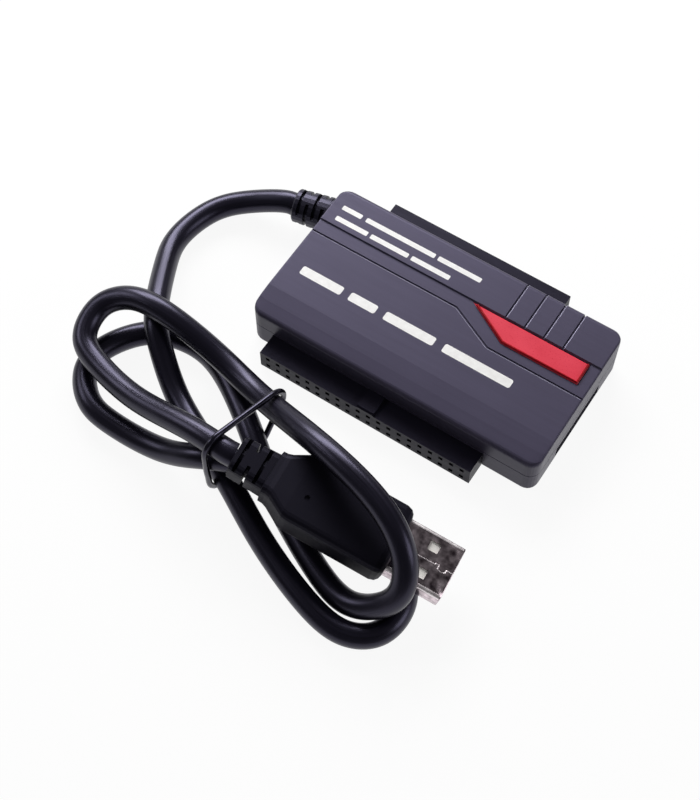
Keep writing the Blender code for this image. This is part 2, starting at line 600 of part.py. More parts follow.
def build_gland():
    """The housing's relief: a neck held in the end wall and a ringed sleeve that leans to the front."""
    neck = GLAND_NECK_DIAMETER / 2
    radius = GLAND_DIAMETER / 2
    wall_in = -HALF_LENGTH + WALL + FIT
    wall_out = -HALF_LENGTH - FIT
    profile = [(wall_in + 0.0005, neck), (wall_out, neck), (wall_out, radius), (wall_out - 0.0009, radius),
               (wall_out - 0.0012, neck)]
    gland = part("cord_relief", lathe(profile, 24, "gland"), CORD_RUBBER)
    moved(gland.data, Matrix.Translation((0, GLAND_Y, GLAND_HEIGHT)))
    side = GLAND_DIAMETER / 2 - 0.0005
    plate = block((wall_in, GLAND_Y - side, GLAND_HEIGHT - side),
                  (wall_in + 0.0011, BACK_Y - CORNER_RADIUS + 0.0004, GLAND_HEIGHT + side), "flange")
    fuse(gland, plate)
    end = GLAND_END_DIAMETER / 2
    sleeve = lathe([(0.0006, neck), (0.0010, radius), (GLAND_LENGTH - 0.0003, end), (GLAND_LENGTH, end - 0.0003)],
                   24, "sleeve")
    fuse(gland, moved(sleeve, gland_frame()))
    for k in range(4):
        station = 0.0021 + k * RING_PITCH
        for side in (0, 180):
            sector = slot_cut(station, RING_SLOT, side + 90 * (k % 2), 68, radius * 1.3, RELIEF_CORE)
            cut(gland, moved(sector, gland_frame()))


def gland_frame():
    """Local X runs out of the housing along the relief."""
    turn = Matrix.Rotation(math.radians(180 + GLAND_TURN), 4, "Z")
    return Matrix.Translation((-HALF_LENGTH, GLAND_Y, GLAND_HEIGHT)) @ turn


def plug_frame():
    """Local X runs back along the plug from its mouth, and local Z is its thickness."""
    yaw = math.radians(PLUG_YAW)
    pitch = math.radians(PLUG_PITCH)
    out = Vector((math.cos(yaw) * math.cos(pitch), math.sin(yaw) * math.cos(pitch), -math.sin(pitch)))
    across = Vector((-math.sin(yaw), math.cos(yaw), 0.0))
    up = out.cross(across)
    turn = Matrix((-out, -across, up)).transposed().to_4x4()
    return Matrix.Translation(Vector(PLUG_MOUTH)) @ turn


def section(x, width, thickness, radius, lift=0.0, steps=4):
    """A rounded rectangle across the plug at one distance from its mouth."""
    outline = rounded_rectangle(-width / 2, width / 2, -thickness / 2, thickness / 2, radius, steps)
    return [(x, y, z + lift) for y, z in outline]


def build_plug():
    frame = plug_frame()
    start = SHELL_REACH
    end = start + PLUG_BODY
    shoulder = end - PLUG_SHOULDER
    rings = [section(start + d, PLUG_WIDTH - 2 * i, PLUG_THICKNESS - 1.2 * i, 0.0016)
             for d, i in ((0.0, 0.0018), (0.0003, 0.0009), (0.0009, 0.0003), (0.0020, 0.0))]
    rings += [
        section(shoulder, PLUG_WIDTH, PLUG_THICKNESS, 0.0016),
        section(shoulder + 0.0012, PLUG_WIDTH - 0.0004, PLUG_THICKNESS, 0.0016),
        section(shoulder + 0.0050, PLUG_NECK_WIDTH + 0.0006, PLUG_THICKNESS - 0.0003, 0.0016),
        section(shoulder + 0.0060, PLUG_NECK_WIDTH, PLUG_THICKNESS - 0.0006, 0.0016),
        section(end, PLUG_NECK_WIDTH, PLUG_THICKNESS - 0.0008, 0.0016),
        section(end + 0.0002, PLUG_RELIEF_WIDTH, PLUG_RELIEF_THICKNESS, 0.0016),
        section(end + PLUG_RELIEF_LENGTH - 0.0003, PLUG_RELIEF_WIDTH - 0.0006, PLUG_RELIEF_THICKNESS, 0.0016),
        section(end + PLUG_RELIEF_LENGTH, PLUG_RELIEF_WIDTH - 0.0014, PLUG_RELIEF_THICKNESS - 0.0008, 0.0014),
    ]
    overmould = part("plug_overmould", moved(loft(rings, "plug_overmould"), frame), PLUG_RUBBER)
    seat = start + SHELL_SEAT
    pocket = [section(x, SHELL_WIDTH + 2 * FIT, SHELL_THICKNESS + 2 * FIT, 0.0006, steps=2)
              for x in (start - 0.001, seat + FIT)]
    cut(overmould, moved(loft(pocket, "pocket"), frame))
    dot = prism(arc((shoulder - 0.0016, 0.0018), 0.0006, 0, 337.5, 15), PLUG_THICKNESS / 2 - 0.0004,
                PLUG_THICKNESS / 2 + 0.001, name="dot")
    cut(overmould, moved(dot, frame))
    for k in range(PLUG_RELIEF_SLOTS):
        station = end + 0.0020 + k * (PLUG_RELIEF_LENGTH - 0.0034) / (PLUG_RELIEF_SLOTS - 1)
        for side in (0, 180):
            sector = slot_cut(station, RING_SLOT, side + 90 * ((k + 1) % 2), 62, PLUG_RELIEF_WIDTH, RELIEF_CORE)
            cut(overmould, moved(sector, frame))

    shell_rings = [section(x, SHELL_WIDTH, SHELL_THICKNESS, 0.0006, steps=3) for x in (0.0, seat)]
    shell = part("plug_shell", moved(loft(shell_rings, "plug_shell"), frame), SHELL_METAL)
    hollow = [section(x, SHELL_WIDTH - 2 * SHELL_WALL, SHELL_THICKNESS - 2 * SHELL_WALL, 0.00025, steps=2)
              for x in (-0.001, seat + 0.001)]
    cut(shell, moved(loft(hollow, "shell_hollow"), frame))
    half = SHELL_HOLE / 2
    for side in (-1, 1):
        y = side * SHELL_HOLE_Y
        hole = block((SHELL_HOLE_X - half, y - half, -SHELL_THICKNESS), (SHELL_HOLE_X + half, y + half, SHELL_THICKNESS))
        cut(shell, moved(hole, frame))

    inside = SHELL_WIDTH / 2 - SHELL_WALL - SOLDER
    roof = SHELL_THICKNESS / 2 - SHELL_WALL - SOLDER
    under = roof - TONGUE_THICKNESS
    tongue = part(
        "plug_tongue", moved(block((0.0006, -inside, under), (seat - SOLDER, inside, roof)), frame), TONGUE_WHITE
    )
    root = block((SHELL_REACH + 0.0004, -inside, -roof), (seat - SOLDER, inside, under + 0.0005))
    fuse(tongue, moved(root, frame))
    first = 0.0014
    for k in range(4):
        y = (k - 1.5) * CONTACT_PITCH
        half = CONTACT_WIDTH / 2
        bed = block((first - SOLDER, y - half - SOLDER, under - 0.001),
                    (first + CONTACT_LENGTH + SOLDER, y + half + SOLDER, under + CONTACT_THICKNESS))
        cut(tongue, moved(bed, frame))
        strip = block((first, y - half, under - SOLDER / 2),
                      (first + CONTACT_LENGTH, y + half, under + CONTACT_THICKNESS - SOLDER))
        part(f"plug_contact_{k + 1}", moved(strip, frame), GOLD)


def smooth_path(points, count):
    """A natural cubic spline through the points, read at many even steps of its parameter."""
    points = np.asarray(points, float)
    knots = np.concatenate([[0], np.cumsum(np.sqrt(np.linalg.norm(np.diff(points, axis=0), axis=1)))])
    gap = np.diff(knots)
    size = len(points)
    system = np.eye(size)
    right = np.zeros_like(points)
    for i in range(1, size - 1):
        system[i, i - 1 : i + 2] = gap[i - 1], 2 * (gap[i - 1] + gap[i]), gap[i]
        right[i] = 6 * ((points[i + 1] - points[i]) / gap[i] - (points[i] - points[i - 1]) / gap[i - 1])
    bend = np.linalg.solve(system, right)
    at = np.linspace(0, knots[-1], count)
    i = np.clip(np.searchsorted(knots, at, side="right") - 1, 0, size - 2)
    a = ((knots[i + 1] - at) / gap[i])[:, None]
    b = 1 - a
    lift = ((a**3 - a) * bend[i] + (b**3 - b) * bend[i + 1]) * (gap[i] ** 2)[:, None] / 6
    return a * points[i] + b * points[i + 1] + lift


def stations(path, count, bend_weight):
    """Points along a path, closer together where it bends."""
    steps = np.diff(path, axis=0)
    lengths = np.linalg.norm(steps, axis=1)
    ways = steps / lengths[:, None]
    turns = np.zeros(len(lengths))
    turns[1:] = np.arccos(np.clip((ways[1:] * ways[:-1]).sum(axis=1), -1, 1))
    measure = np.concatenate([[0], np.cumsum(lengths + bend_weight * turns)])
    at = np.interp(np.linspace(0, measure[-1], count), measure, np.arange(len(path)))
    return np.stack([np.interp(at, np.arange(len(path)), path[:, k]) for k in range(3)], axis=1)


def tube_mesh(points, diameter, sides, closed):
    """A round tube along points: a bevelled curve turned into one closed mesh."""
    curve = bpy.data.curves.new("tube", "CURVE")
    curve.dimensions = "3D"
    curve.bevel_depth = diameter / 2
    curve.bevel_resolution = (sides - 4) // 2
    curve.use_fill_caps = not closed
    curve.twist_mode = "MINIMUM"
    spline = curve.splines.new("POLY")
    spline.points.add(len(points) - 1)
    for place, point in zip(spline.points, points):
        place.co = (*point, 1.0)
    spline.use_cyclic_u = closed
    holder = bpy.data.objects.new("tube", curve)
    bpy.context.scene.collection.objects.link(holder)
    seen = bpy.context.evaluated_depsgraph_get()
    mesh = bpy.data.meshes.new_from_object(holder.evaluated_get(seen))
    bpy.data.objects.remove(holder, do_unlink=True)
    build = bmesh.new()
    build.from_mesh(mesh)
    bpy.data.meshes.remove(mesh)
    bmesh.ops.remove_doubles(build, verts=build.verts, dist=1e-6)
    return finish_mesh(build, "tube")


def cord_path():
    """The cord's centre line, straight out of each relief for a short way."""
    straight = 0.0022
    head = [gland_frame() @ Vector((GLAND_LENGTH + CORD_GAP + d, 0, 0)) for d in (0, straight)]
    plug_end = SHELL_REACH + PLUG_BODY + PLUG_RELIEF_LENGTH + CORD_GAP
    tail = [plug_frame() @ Vector((plug_end + d, 0, 0)) for d in (straight, 0)]
    middle = [Vector(point) / 1000 for point in CORD_ROUTE]
    return smooth_path([tuple(p) for p in head + middle + tail], 1500)


def build_cord():
    part("cord", tube_mesh(stations(cord_path(), CORD_STATIONS, 0.014), CORD_DIAMETER, CORD_SIDES, False), CORD_RUBBER)
    turn = math.radians(TIE_TURN)
    origin = Vector(TIE_ORIGIN)
    across = Vector((math.cos(turn), math.sin(turn), 0))
    loop = [origin + across * (u / 1000) + Vector((0, 0, v / 1000)) for u, v in TIE_LOOP]
    wrapped = [tuple(p) for p in loop + loop + loop]
    smooth = smooth_path(wrapped, 3 * 120 + 1)[120:240]
    part("cord_tie", tube_mesh(smooth[::3], TIE_DIAMETER, 8, True), TIE_BLACK)


clear_scene()
PARTS = make_collection("usb_to_sata_adapter")
CUTTERS = make_collection("cutters")
CUTTERS.hide_render = True

SHELL_PLASTIC = material("shell_plastic", (0.050, 0.048, 0.060), 0.38)
SOCKET_PLASTIC = material("socket_plastic", (0.018, 0.018, 0.022), 0.45)
WINDOW_RED = material("window_red", (0.80, 0.045, 0.07), 0.25, transmission=0.3)
BOARD_GREEN = material("board_green", (0.02, 0.12, 0.05), 0.45)
CHIP_BLACK = material("chip_black", (0.015, 0.015, 0.016), 0.5)
CAPACITOR_TAN = material("capacitor_tan", (0.45, 0.30, 0.12), 0.45)
LAMP_CLEAR = material("lamp_clear", (0.85, 0.85, 0.80), 0.15, transmission=0.6)
STEEL = material("steel", (0.55, 0.54, 0.52), 0.28, metallic=1.0)
SHELL_METAL = material("shell_metal", (0.62, 0.57, 0.60), 0.2, metallic=1.0)
GOLD = material("gold_plate", (0.90, 0.66, 0.26), 0.25, metallic=1.0)
CORD_RUBBER = material("cord_rubber", (0.022, 0.021, 0.028), 0.38)
PLUG_RUBBER = material("plug_rubber", (0.022, 0.021, 0.027), 0.5)
TIE_BLACK = material("tie_black", (0.02, 0.02, 0.024), 0.35)
TONGUE_WHITE = material("tongue_white", (0.82, 0.82, 0.80), 0.4)

build_housing()
build_window()
build_sockets()
build_header()
build_board()
build_gland()
build_plug()
build_cord()
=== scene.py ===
"""Looks of a drive adapter: a flat moulded housing with two sockets, a red window and a tied cord with a plug.

Lengths are in metres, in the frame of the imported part: +X to the header end, +Z up. The points of a span, a path,
a route or a loop that is written out as a field are in millimetres.
"""

from __future__ import annotations

import logging
import math
from dataclasses import dataclass, field
from enum import Enum
from functools import lru_cache
from typing import Any, Iterable, Sequence

import bmesh
import bpy
import numpy as np
from mathutils import Matrix, Vector

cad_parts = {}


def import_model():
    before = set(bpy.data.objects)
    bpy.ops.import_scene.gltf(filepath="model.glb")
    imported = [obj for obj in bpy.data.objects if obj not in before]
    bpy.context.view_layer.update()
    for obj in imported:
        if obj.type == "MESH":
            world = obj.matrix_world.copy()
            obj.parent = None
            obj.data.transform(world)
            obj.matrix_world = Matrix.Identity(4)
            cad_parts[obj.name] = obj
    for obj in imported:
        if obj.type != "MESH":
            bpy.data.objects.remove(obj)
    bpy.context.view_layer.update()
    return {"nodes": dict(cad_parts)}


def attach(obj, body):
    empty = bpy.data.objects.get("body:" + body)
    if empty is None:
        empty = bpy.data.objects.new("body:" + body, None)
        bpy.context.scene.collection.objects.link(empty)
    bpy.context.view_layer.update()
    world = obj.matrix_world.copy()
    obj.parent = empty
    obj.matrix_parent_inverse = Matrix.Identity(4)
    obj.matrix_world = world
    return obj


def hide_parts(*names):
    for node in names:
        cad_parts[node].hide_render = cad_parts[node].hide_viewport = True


LOG = logging.getLogger("adapter")
ROOT = "root"
Point = tuple[float, float, float]
Pair = tuple[float, float]
Tree = bpy.types.NodeTree
Nodes = dict[str, bpy.types.Object]


def linear(colour: str) -> tuple[float, float, float, float]:
    """Turn an sRGB hex colour into linear light.

    Args:
        colour: A colour such as "#4a4854".

    Returns:
        Red, green, blue and an alpha of one.
    """
    shares = [int(colour[i : i + 2], 16) / 255 for i in (1, 3, 5)]
    red, green, blue = (c / 12.92 if c <= 0.04045 else ((c + 0.055) / 1.055) ** 2.4 for c in shares)
    return red, green, blue, 1.0


def add_node(tree: Tree, kind: str, inputs: dict[Any, Any] | None = None, **settings: Any) -> Any:
    """Add one node to a tree.

    Args:
        tree: The shader or geometry tree.
        kind: The node's type.
        inputs: What feeds each input, by name or index: a socket to link or a plain value.
        **settings: The node's own settings.

    Returns:
        The new node.
    """
    node = tree.nodes.new(kind)
    for name, value in settings.items():
        setattr(node, name, value)
    for key, value in (inputs or {}).items():
        if isinstance(value, bpy.types.NodeSocket):
            tree.links.new(value, node.inputs[key])
        else:
            node.inputs[key].default_value = value
    return node


def blank_tree(owner: bpy.types.Material | bpy.types.World) -> Tree:
    """Give a material or a world an empty tree.

    Args:
        owner: The material or the world.

    Returns:
        The tree.
    """
    owner.use_nodes = True
    owner.node_tree.nodes.clear()
    return owner.node_tree


# Finishes


# The faint violet of light off the black plastics
SHEEN = "#dad4ff"
# The middle range of a noise, which is stretched to the whole of a pattern's range
NOISE_RANGE = (0.3, 0.7)


class Grain(Enum):
    """Where a finish reads its pattern from."""

    SPACE = "object space"
    LENGTH = "along and around a tube"


@dataclass(frozen=True)
class Finish:
    """A material with a pattern, whose sizes are in real millimetres and whose depths are in metres."""

    name: str
    slot: str
    colour: str
    shade: str
    roughness: float
    grain: Grain = Grain.SPACE
    gloss_change: Pair = (-0.06, 0.06)

    def place(self, tree: Tree) -> Any:
        """Give the socket that holds the pattern's place, in millimetres.

        Args:
            tree: The material's tree.

        Returns:
            A vector socket.
        """
        if self.grain is Grain.SPACE:
            source = add_node(tree, "ShaderNodeTexCoord").outputs["Object"]
        else:
            along = add_node(tree, "ShaderNodeAttribute", attribute_name="along").outputs["Fac"]
            around = add_node(tree, "ShaderNodeAttribute", attribute_name="around").outputs["Fac"]
            source = add_node(tree, "ShaderNodeCombineXYZ", {"X": along, "Y": around}).outputs["Vector"]
        scaled = add_node(tree, "ShaderNodeVectorMath", {0: source, 1: (1000, 1000, 1000)}, operation="MULTIPLY")
        return scaled.outputs["Vector"]

    def noise(self, tree: Tree, place: Any, size: Point, detail: float = 2.0) -> Any:
        """Add a noise whose features have a size along each axis.

        Args:
            tree: The material's tree.
            place: The pattern's place in millimetres.
            size: Feature sizes in millimetres.
            detail: Octaves of finer noise.

        Returns:
            The noise's value socket.
        """
        shares = tuple(1 / s for s in size)
        spread = add_node(tree, "ShaderNodeVectorMath", {0: place, 1: shares}, operation="MULTIPLY")
        return add_node(
            tree, "ShaderNodeTexNoise", {"Vector": spread.outputs["Vector"], "Scale": 1.0, "Detail": detail}
        ).outputs["Fac"]

    def blend(self, tree: Tree, share: Any, low: str, high: str) -> Any:
        """Mix two colours by a share's socket, with low at nought and high at one."""
        mix = add_node(tree, "ShaderNodeMix", {0: share, 6: linear(low), 7: linear(high)}, data_type="RGBA")
        return mix.outputs[2]

    def spread(self, tree: Tree, value: Any, low: float = 0.0, high: float = 1.0) -> Any:
        """Stretch a noise's middle range to a new range.

        Args:
            tree: The material's tree.
            value: The noise's socket.
            low: What the dark parts become.
            high: What the light parts become.

        Returns:
            The stretched value's socket.
        """
        start, end = NOISE_RANGE
        inputs = {"Value": value, "From Min": start, "From Max": end, "To Min": low, "To Max": high}
        return add_node(tree, "ShaderNodeMapRange", inputs).outputs["Result"]

    def gloss(self, tree: Tree, value: Any) -> Any:
        """Turn a noise into a roughness, changed by one amount in its dark parts and another in its light parts."""
        return self.spread(tree, value, *(self.roughness + change for change in self.gloss_change))

    def bump(self, tree: Tree, height: Any, depth: float, below: Any = None) -> Any:
        """Turn a height into a bumped normal.

        Args:
            tree: The material's tree.
            height: The height's socket.
            depth: How deep the bumps are, in metres.
            below: The normal to build on.

        Returns:
            The normal's socket.
        """
        inputs = {"Height": height, "Strength": 1.0, "Distance": depth}
        if below is not None:
            inputs["Normal"] = below
        return add_node(tree, "ShaderNodeBump", inputs).outputs["Normal"]

    def feed(self, tree: Tree, shader: Any, tone: Any, gloss: Any, normal: Any) -> None:
        """Link the finish's colours, roughness and bumps to its shader.

        Args:
            tree: The material's tree.
            shader: The Principled shader.
            tone: The socket that mixes the shade and the colour.
            gloss: The roughness's socket.
            normal: The normal's socket.
        """
        colour = self.blend(tree, tone, self.shade, self.colour)
        for name, socket in (("Base Color", colour), ("Roughness", gloss), ("Normal", normal)):
            tree.links.new(socket, shader.inputs[name])

    def dress(self, tree: Tree, shader: Any) -> None:
        """Link the finish's pattern to its Principled shader."""
        raise NotImplementedError

    def build(self) -> bpy.types.Material:
        """Make the material.

        Returns:
            The new material.
        """
        made = bpy.data.materials.new(self.name)
        made.diffuse_color = linear(self.colour)
        tree = blank_tree(made)
        shader = add_node(
            tree, "ShaderNodeBsdfPrincipled", {"Base Color": linear(self.colour), "Roughness": self.roughness}
        )
        self.dress(tree, shader)
        add_node(tree, "ShaderNodeOutputMaterial", {"Surface": shader.outputs["BSDF"]})
        return made


@dataclass(frozen=True)
class MouldedPlastic(Finish):
    """Moulded plastic: a spark-eroded grain in the bump, and faint flow marks that change tone and gloss.

    A real grain is well under 0.1 mm and wouldn't show, so it is drawn coarser, at about a picture point.
    """

    grain_size: float = 0.22
    grain_depth: float = 0.000006
    flow: Point = (26.0, 0.55, 0.55)
    cloud: Point = (11.0, 8.0, 8.0)
    flow_share: float = 0.7
    gloss_change: Pair = (0.05, -0.05)
    specular: float = 0.5

    def dress(self, tree: Tree, shader: Any) -> None:
        """Link grain, flow marks and cloudy gloss.

        Args:
            tree: The material's tree.
            shader: The Principled shader.
        """
        place = self.place(tree)
        flow = self.noise(tree, place, self.flow, detail=3.0)
        cloud = self.noise(tree, place, self.cloud)
        both = add_node(tree, "ShaderNodeMix", {0: self.flow_share, 2: cloud, 3: flow}).outputs[0]
        fine = self.noise(tree, place, (self.grain_size,) * 3, detail=1.0)
        normal = self.bump(tree, fine, self.grain_depth)
        self.feed(tree, shader, self.spread(tree, both), self.gloss(tree, flow), normal)
        shader.inputs["Specular IOR Level"].default_value = self.specular
        shader.inputs["Specular Tint"].default_value = linear(SHEEN)


@dataclass(frozen=True)
class SoftVinyl(Finish):
    """Soft PVC: satin skin with long draw lines and slow waves that break up its highlight.

    The fine grain and the width of the draw lines are drawn coarser than real ones, so that they show.
    """

    wave_depth: float = 0.00004
    wave_size: Point = (6.0, 4.0, 4.0)
    lines: Point = (14.0, 0.5, 0.5)
    line_depth: float = 0.000012
    grain_size: float = 0.16
    grain_depth: float = 0.000003
    gloss_change: Pair = (-0.05, 0.07)

    def dress(self, tree: Tree, shader: Any) -> None:
        """Link draw lines, waves and a fine grain.

        Args:
            tree: The material's tree.
            shader: The Principled shader.
        """
        place = self.place(tree)
        lines = self.noise(tree, place, self.lines, detail=3.0)
        waves = self.noise(tree, place, self.wave_size, detail=1.0)
        fine = self.noise(tree, place, (self.grain_size,) * 3, detail=1.0)
        drawn = self.bump(tree, lines, self.line_depth, self.bump(tree, waves, self.wave_depth))
        normal = self.bump(tree, fine, self.grain_depth, drawn)
        self.feed(tree, shader, self.spread(tree, lines), self.gloss(tree, lines), normal)
        shader.inputs["Specular Tint"].default_value = linear(SHEEN)


@dataclass(frozen=True)
class PlatedMetal(Finish):
    """Stamped and plated metal: a mirror broken by rolling waves, fine scratches and cloudy plating.

    Real scratches are a few hundredths of a millimetre wide. They are drawn coarser, so that they show. On the
    nickel shell the clouds' dark shade is partly cloudy plating and partly painted dark reflections.
    """

    wave_depth: float = 0.00003
    wave_size: float = 2.6
    cloud_and_reflection_size: float = 1.6
    scratch: Point = (5.0, 0.12, 0.12)
    scratch_depth: float = 0.0000015
    gloss_change: Pair = (-0.06, 0.12)

    def dress(self, tree: Tree, shader: Any) -> None:
        """Link waves, scratches and cloudy plating, whose dark parts on the nickel shell are partly painted
        reflections.

        Args:
            tree: The material's tree.
            shader: The Principled shader.
        """
        place = self.place(tree)
        cloud = self.noise(tree, place, (self.cloud_and_reflection_size,) * 3, detail=4.0)
        scratch = self.noise(tree, place, self.scratch)
        waves = self.noise(tree, place, (self.wave_size,) * 3, detail=1.0)
        normal = self.bump(tree, scratch, self.scratch_depth, self.bump(tree, waves, self.wave_depth))
        self.feed(tree, shader, self.spread(tree, cloud), self.gloss(tree, cloud), normal)
        shader.inputs["Metallic"].default_value = 1.0


@dataclass(frozen=True)
class TintedAcrylic(Finish):
    """Tinted acrylic: clear gloss over a body with faint moulding clouds and a light scuffed skin.

    The scuffs are drawn coarser than real ones, so that they show.
    """

    transmission: float = 0.25
    specular: float = 0.5
    cloud: Point = (5.0, 3.0, 3.0)
    scuff_size: float = 0.3
    scuff_depth: float = 0.000002
    gloss_change: Pair = (-0.04, 0.06)
    ior: float = 1.49

    def dress(self, tree: Tree, shader: Any) -> None:
        """Link clouds and scuffs.

        Args:
            tree: The material's tree.
            shader: The Principled shader.
        """
        place = self.place(tree)
        cloud = self.noise(tree, place, self.cloud, detail=3.0)
        scuff = self.noise(tree, place, (self.scuff_size,) * 3)
        normal = self.bump(tree, scuff, self.scuff_depth)
        self.feed(tree, shader, self.spread(tree, cloud), self.gloss(tree, scuff), normal)
        shader.inputs["Transmission Weight"].default_value = self.transmission
        shader.inputs["Specular IOR Level"].default_value = self.specular
        shader.inputs["IOR"].default_value = self.ior


@dataclass(frozen=True)
class PrintInk(Finish):
    """Screen ink: flat body colour with a fine tooth, drawn coarser than a real one, and thin spots."""

    tooth_size: float = 0.18
    tooth_depth: float = 0.000004
    thin_size: float = 1.2
    gloss_change: Pair = (-0.1, 0.1)

    def dress(self, tree: Tree, shader: Any) -> None:
        """Link the ink's tooth.

        Args:
            tree: The material's tree.
            shader: The Principled shader.
        """
        place = self.place(tree)
        tooth = self.noise(tree, place, (self.tooth_size,) * 3, detail=3.0)
        thin = self.noise(tree, place, (self.thin_size,) * 3, detail=4.0)
        normal = self.bump(tree, tooth, self.tooth_depth)
        self.feed(tree, shader, self.spread(tree, thin), self.gloss(tree, tooth), normal)


@dataclass(frozen=True)
class BoardLaminate(Finish):
    """Glass laminate under green mask: raised copper tracks show as lighter, slightly higher lines."""

    track: float = 0.5
    track_depth: float = 0.00002
    track_length: float = 5.5
    track_pitch: float = 1.27
    weave_size: float = 0.3

    def dress(self, tree: Tree, shader: Any) -> None:
        """Link tracks and the mask's weave.

        Args:
            tree: The material's tree.
            shader: The Principled shader.
        """
        place = self.place(tree)
        lines = add_node(
            tree, "ShaderNodeTexBrick",
            {"Vector": place, "Scale": 1.0, "Color1": (0, 0, 0, 1), "Color2": (0, 0, 0, 1), "Mortar": (1, 1, 1, 1),
             "Mortar Size": self.track / 4, "Brick Width": self.track_length, "Row Height": self.track_pitch},
        ).outputs["Color"]
        weave = self.noise(tree, place, (self.weave_size,) * 3)
        self.feed(tree, shader, lines, self.gloss(tree, weave), self.bump(tree, lines, self.track_depth))


HOUSING_ABS = MouldedPlastic(
    "moulded ABS, dark violet grey", "shell_plastic", "#4b4759", "#454152", 0.37, flow=(22.0, 1.1, 1.1),
    gloss_change=(0.025, -0.025), specular=0.24,
)
# The lighter plastic of the groove edges is a painted highlight on their rounded lips.
HIGHLIGHT_EDGE_ABS = MouldedPlastic(
    "moulded ABS, polished by handling", "shell_plastic", "#a29eb4", "#8d899e", 0.25, grain_depth=0.000002
)
SOCKET_PBT = MouldedPlastic(
    "moulded PBT, black", "socket_plastic", "#201e29", "#18161f", 0.4, grain_size=0.3, flow=(9.0, 1.2, 1.2),
    specular=0.12,
)
WINDOW_ACRYLIC = TintedAcrylic(
    "tinted acrylic, red", "window_red", "#ec485b", "#e43f52", 0.3, transmission=0.1, specular=0.15
)
# The darker red of the window's rim is painted shade on the sides turned from the key lamp.
SHADED_RIM_ACRYLIC = TintedAcrylic(
    "tinted acrylic, deep red edge", "window_red", "#b00618", "#980212", 0.3, transmission=0.1, specular=0.2
)
LAMP_EPOXY = TintedAcrylic("clear epoxy", "lamp_clear", "#e9e6da", "#d8d4c4", 0.12, transmission=0.6)
LAMINATE = BoardLaminate("glass laminate, green mask", "board_green", "#1f7a44", "#14532f", 0.36)
CHIP_EPOXY = MouldedPlastic("moulded epoxy, black", "chip_black", "#232325", "#19191b", 0.55, grain_size=0.12)
CERAMIC = MouldedPlastic("fired ceramic, tan", "capacitor_tan", "#b98a4c", "#a87839", 0.5, flow=(1.5, 1.5, 1.5))
SCREW_STEEL = PlatedMetal("zinc plated steel", "steel", "#b9b6ae", "#8f8b84", 0.3, wave_depth=0.00001)
# The nickel's dark shade is partly cloudy plating and partly painted dark reflections in its clouds.
NICKEL = PlatedMetal("nickel plated steel", "shell_metal", "#ead9e1", "#5e5058", 0.15)
# The near-white nickel on the seam's lip and the shell's edges is a painted highlight.
HIGHLIGHT_NICKEL = PlatedMetal("nickel plated steel, burnished edge", "shell_metal", "#fffafb", "#f4eaee", 0.42)
GOLD = PlatedMetal("gold plated bronze", "gold_plate", "#e0b45c", "#c79740", 0.25, wave_depth=0.000006)
CORD_PVC = SoftVinyl("soft PVC, black", "cord_rubber", "#15131d", "#0d0c13", 0.31, grain=Grain.LENGTH)
RELIEF_PVC = SoftVinyl("moulded PVC, black", "cord_rubber", "#15141c", "#0f0e14", 0.4, wave_depth=0.00001)
PLUG_PVC = MouldedPlastic(
    "moulded PVC, matt black", "plug_rubber", "#100f17", "#0b0a10", 0.5, grain_size=0.18, flow=(5.0, 3.0, 3.0),
    specular=0.2,
)
TIE_PVC = SoftVinyl(
    "tie wire PVC, black", "tie_black", "#100f16", "#0b0a10", 0.22, grain=Grain.LENGTH, wave_depth=0.00001
)
TONGUE_NYLON = MouldedPlastic("moulded nylon, white", "tongue_white", "#f6f4ef", "#ece9e2", 0.42)
WHITE_INK = PrintInk("screen ink, white", "tongue_white", "#f4f3f2", "#e9e7e6", 0.6)


@lru_cache(maxsize=None)
def material(finish: Finish) -> bpy.types.Material:
    """Give a finish's material, made once."""
    return finish.build()


# Meshes


def linked(name: str, data: Any) -> bpy.types.Object:
    """Make an object and put it into the scene.

    Args:
        name: The object's name.
        data: Its mesh, curve, lamp or camera.

    Returns:
        The object.
    """
    made = bpy.data.objects.new(name, data)
    bpy.context.scene.collection.objects.link(made)
    return made


def new_object(name: str, mesh: bpy.types.Mesh, finish: Finish, angle: float = 32.0) -> bpy.types.Object:
    """Put a mesh into the scene as a finished piece that rides with the part.

    Args:
        name: The piece's name.
        mesh: Its mesh, in the part's frame.
        finish: Its finish.
        angle: Edges sharper than this many degrees stay sharp.

    Returns:
        The piece.
    """
    mesh.materials.clear()
    mesh.materials.append(material(finish))
    mesh.shade_smooth()
    mesh.set_sharp_from_angle(angle=math.radians(angle))
    made = linked(name, mesh)
    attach(made, ROOT)
    return made


def built_mesh(name: str, build: bmesh.types.BMesh) -> bpy.types.Mesh:
    """Turn a build into a mesh.

    Args:
        name: The mesh's name.
        build: The build, which is freed.

    Returns:
        The mesh.
    """
    mesh = bpy.data.meshes.new(name)
    build.to_mesh(mesh)
    build.free()
    return mesh


def loft(name: str, rings: Sequence[Sequence[Point]]) -> bpy.types.Mesh:
    """Skin rings of equally many points, with flat ends.

    Args:
        name: The mesh's name.
        rings: The rings in order.

    Returns:
        A closed mesh.
    """
    build = bmesh.new()
    rows = [[build.verts.new(point) for point in ring] for ring in rings]
    for lower, upper in zip(rows, rows[1:]):
        for i, corner in enumerate(lower):
            j = (i + 1) % len(lower)
            build.faces.new((corner, lower[j], upper[j], upper[i]))
    build.faces.new(reversed(rows[0]))
    build.faces.new(rows[-1])
    bmesh.ops.recalc_face_normals(build, faces=build.faces)
    return built_mesh(name, build)


def joined(name: str, meshes: Iterable[bpy.types.Mesh]) -> bpy.types.Mesh:
    """Join meshes into one.

    Args:
        name: The mesh's name.
        meshes: The meshes, which are removed.

    Returns:
        The joined mesh.
    """
    build = bmesh.new()
    for mesh in meshes:
        build.from_mesh(mesh)
        bpy.data.meshes.remove(mesh)
    return built_mesh(name, build)


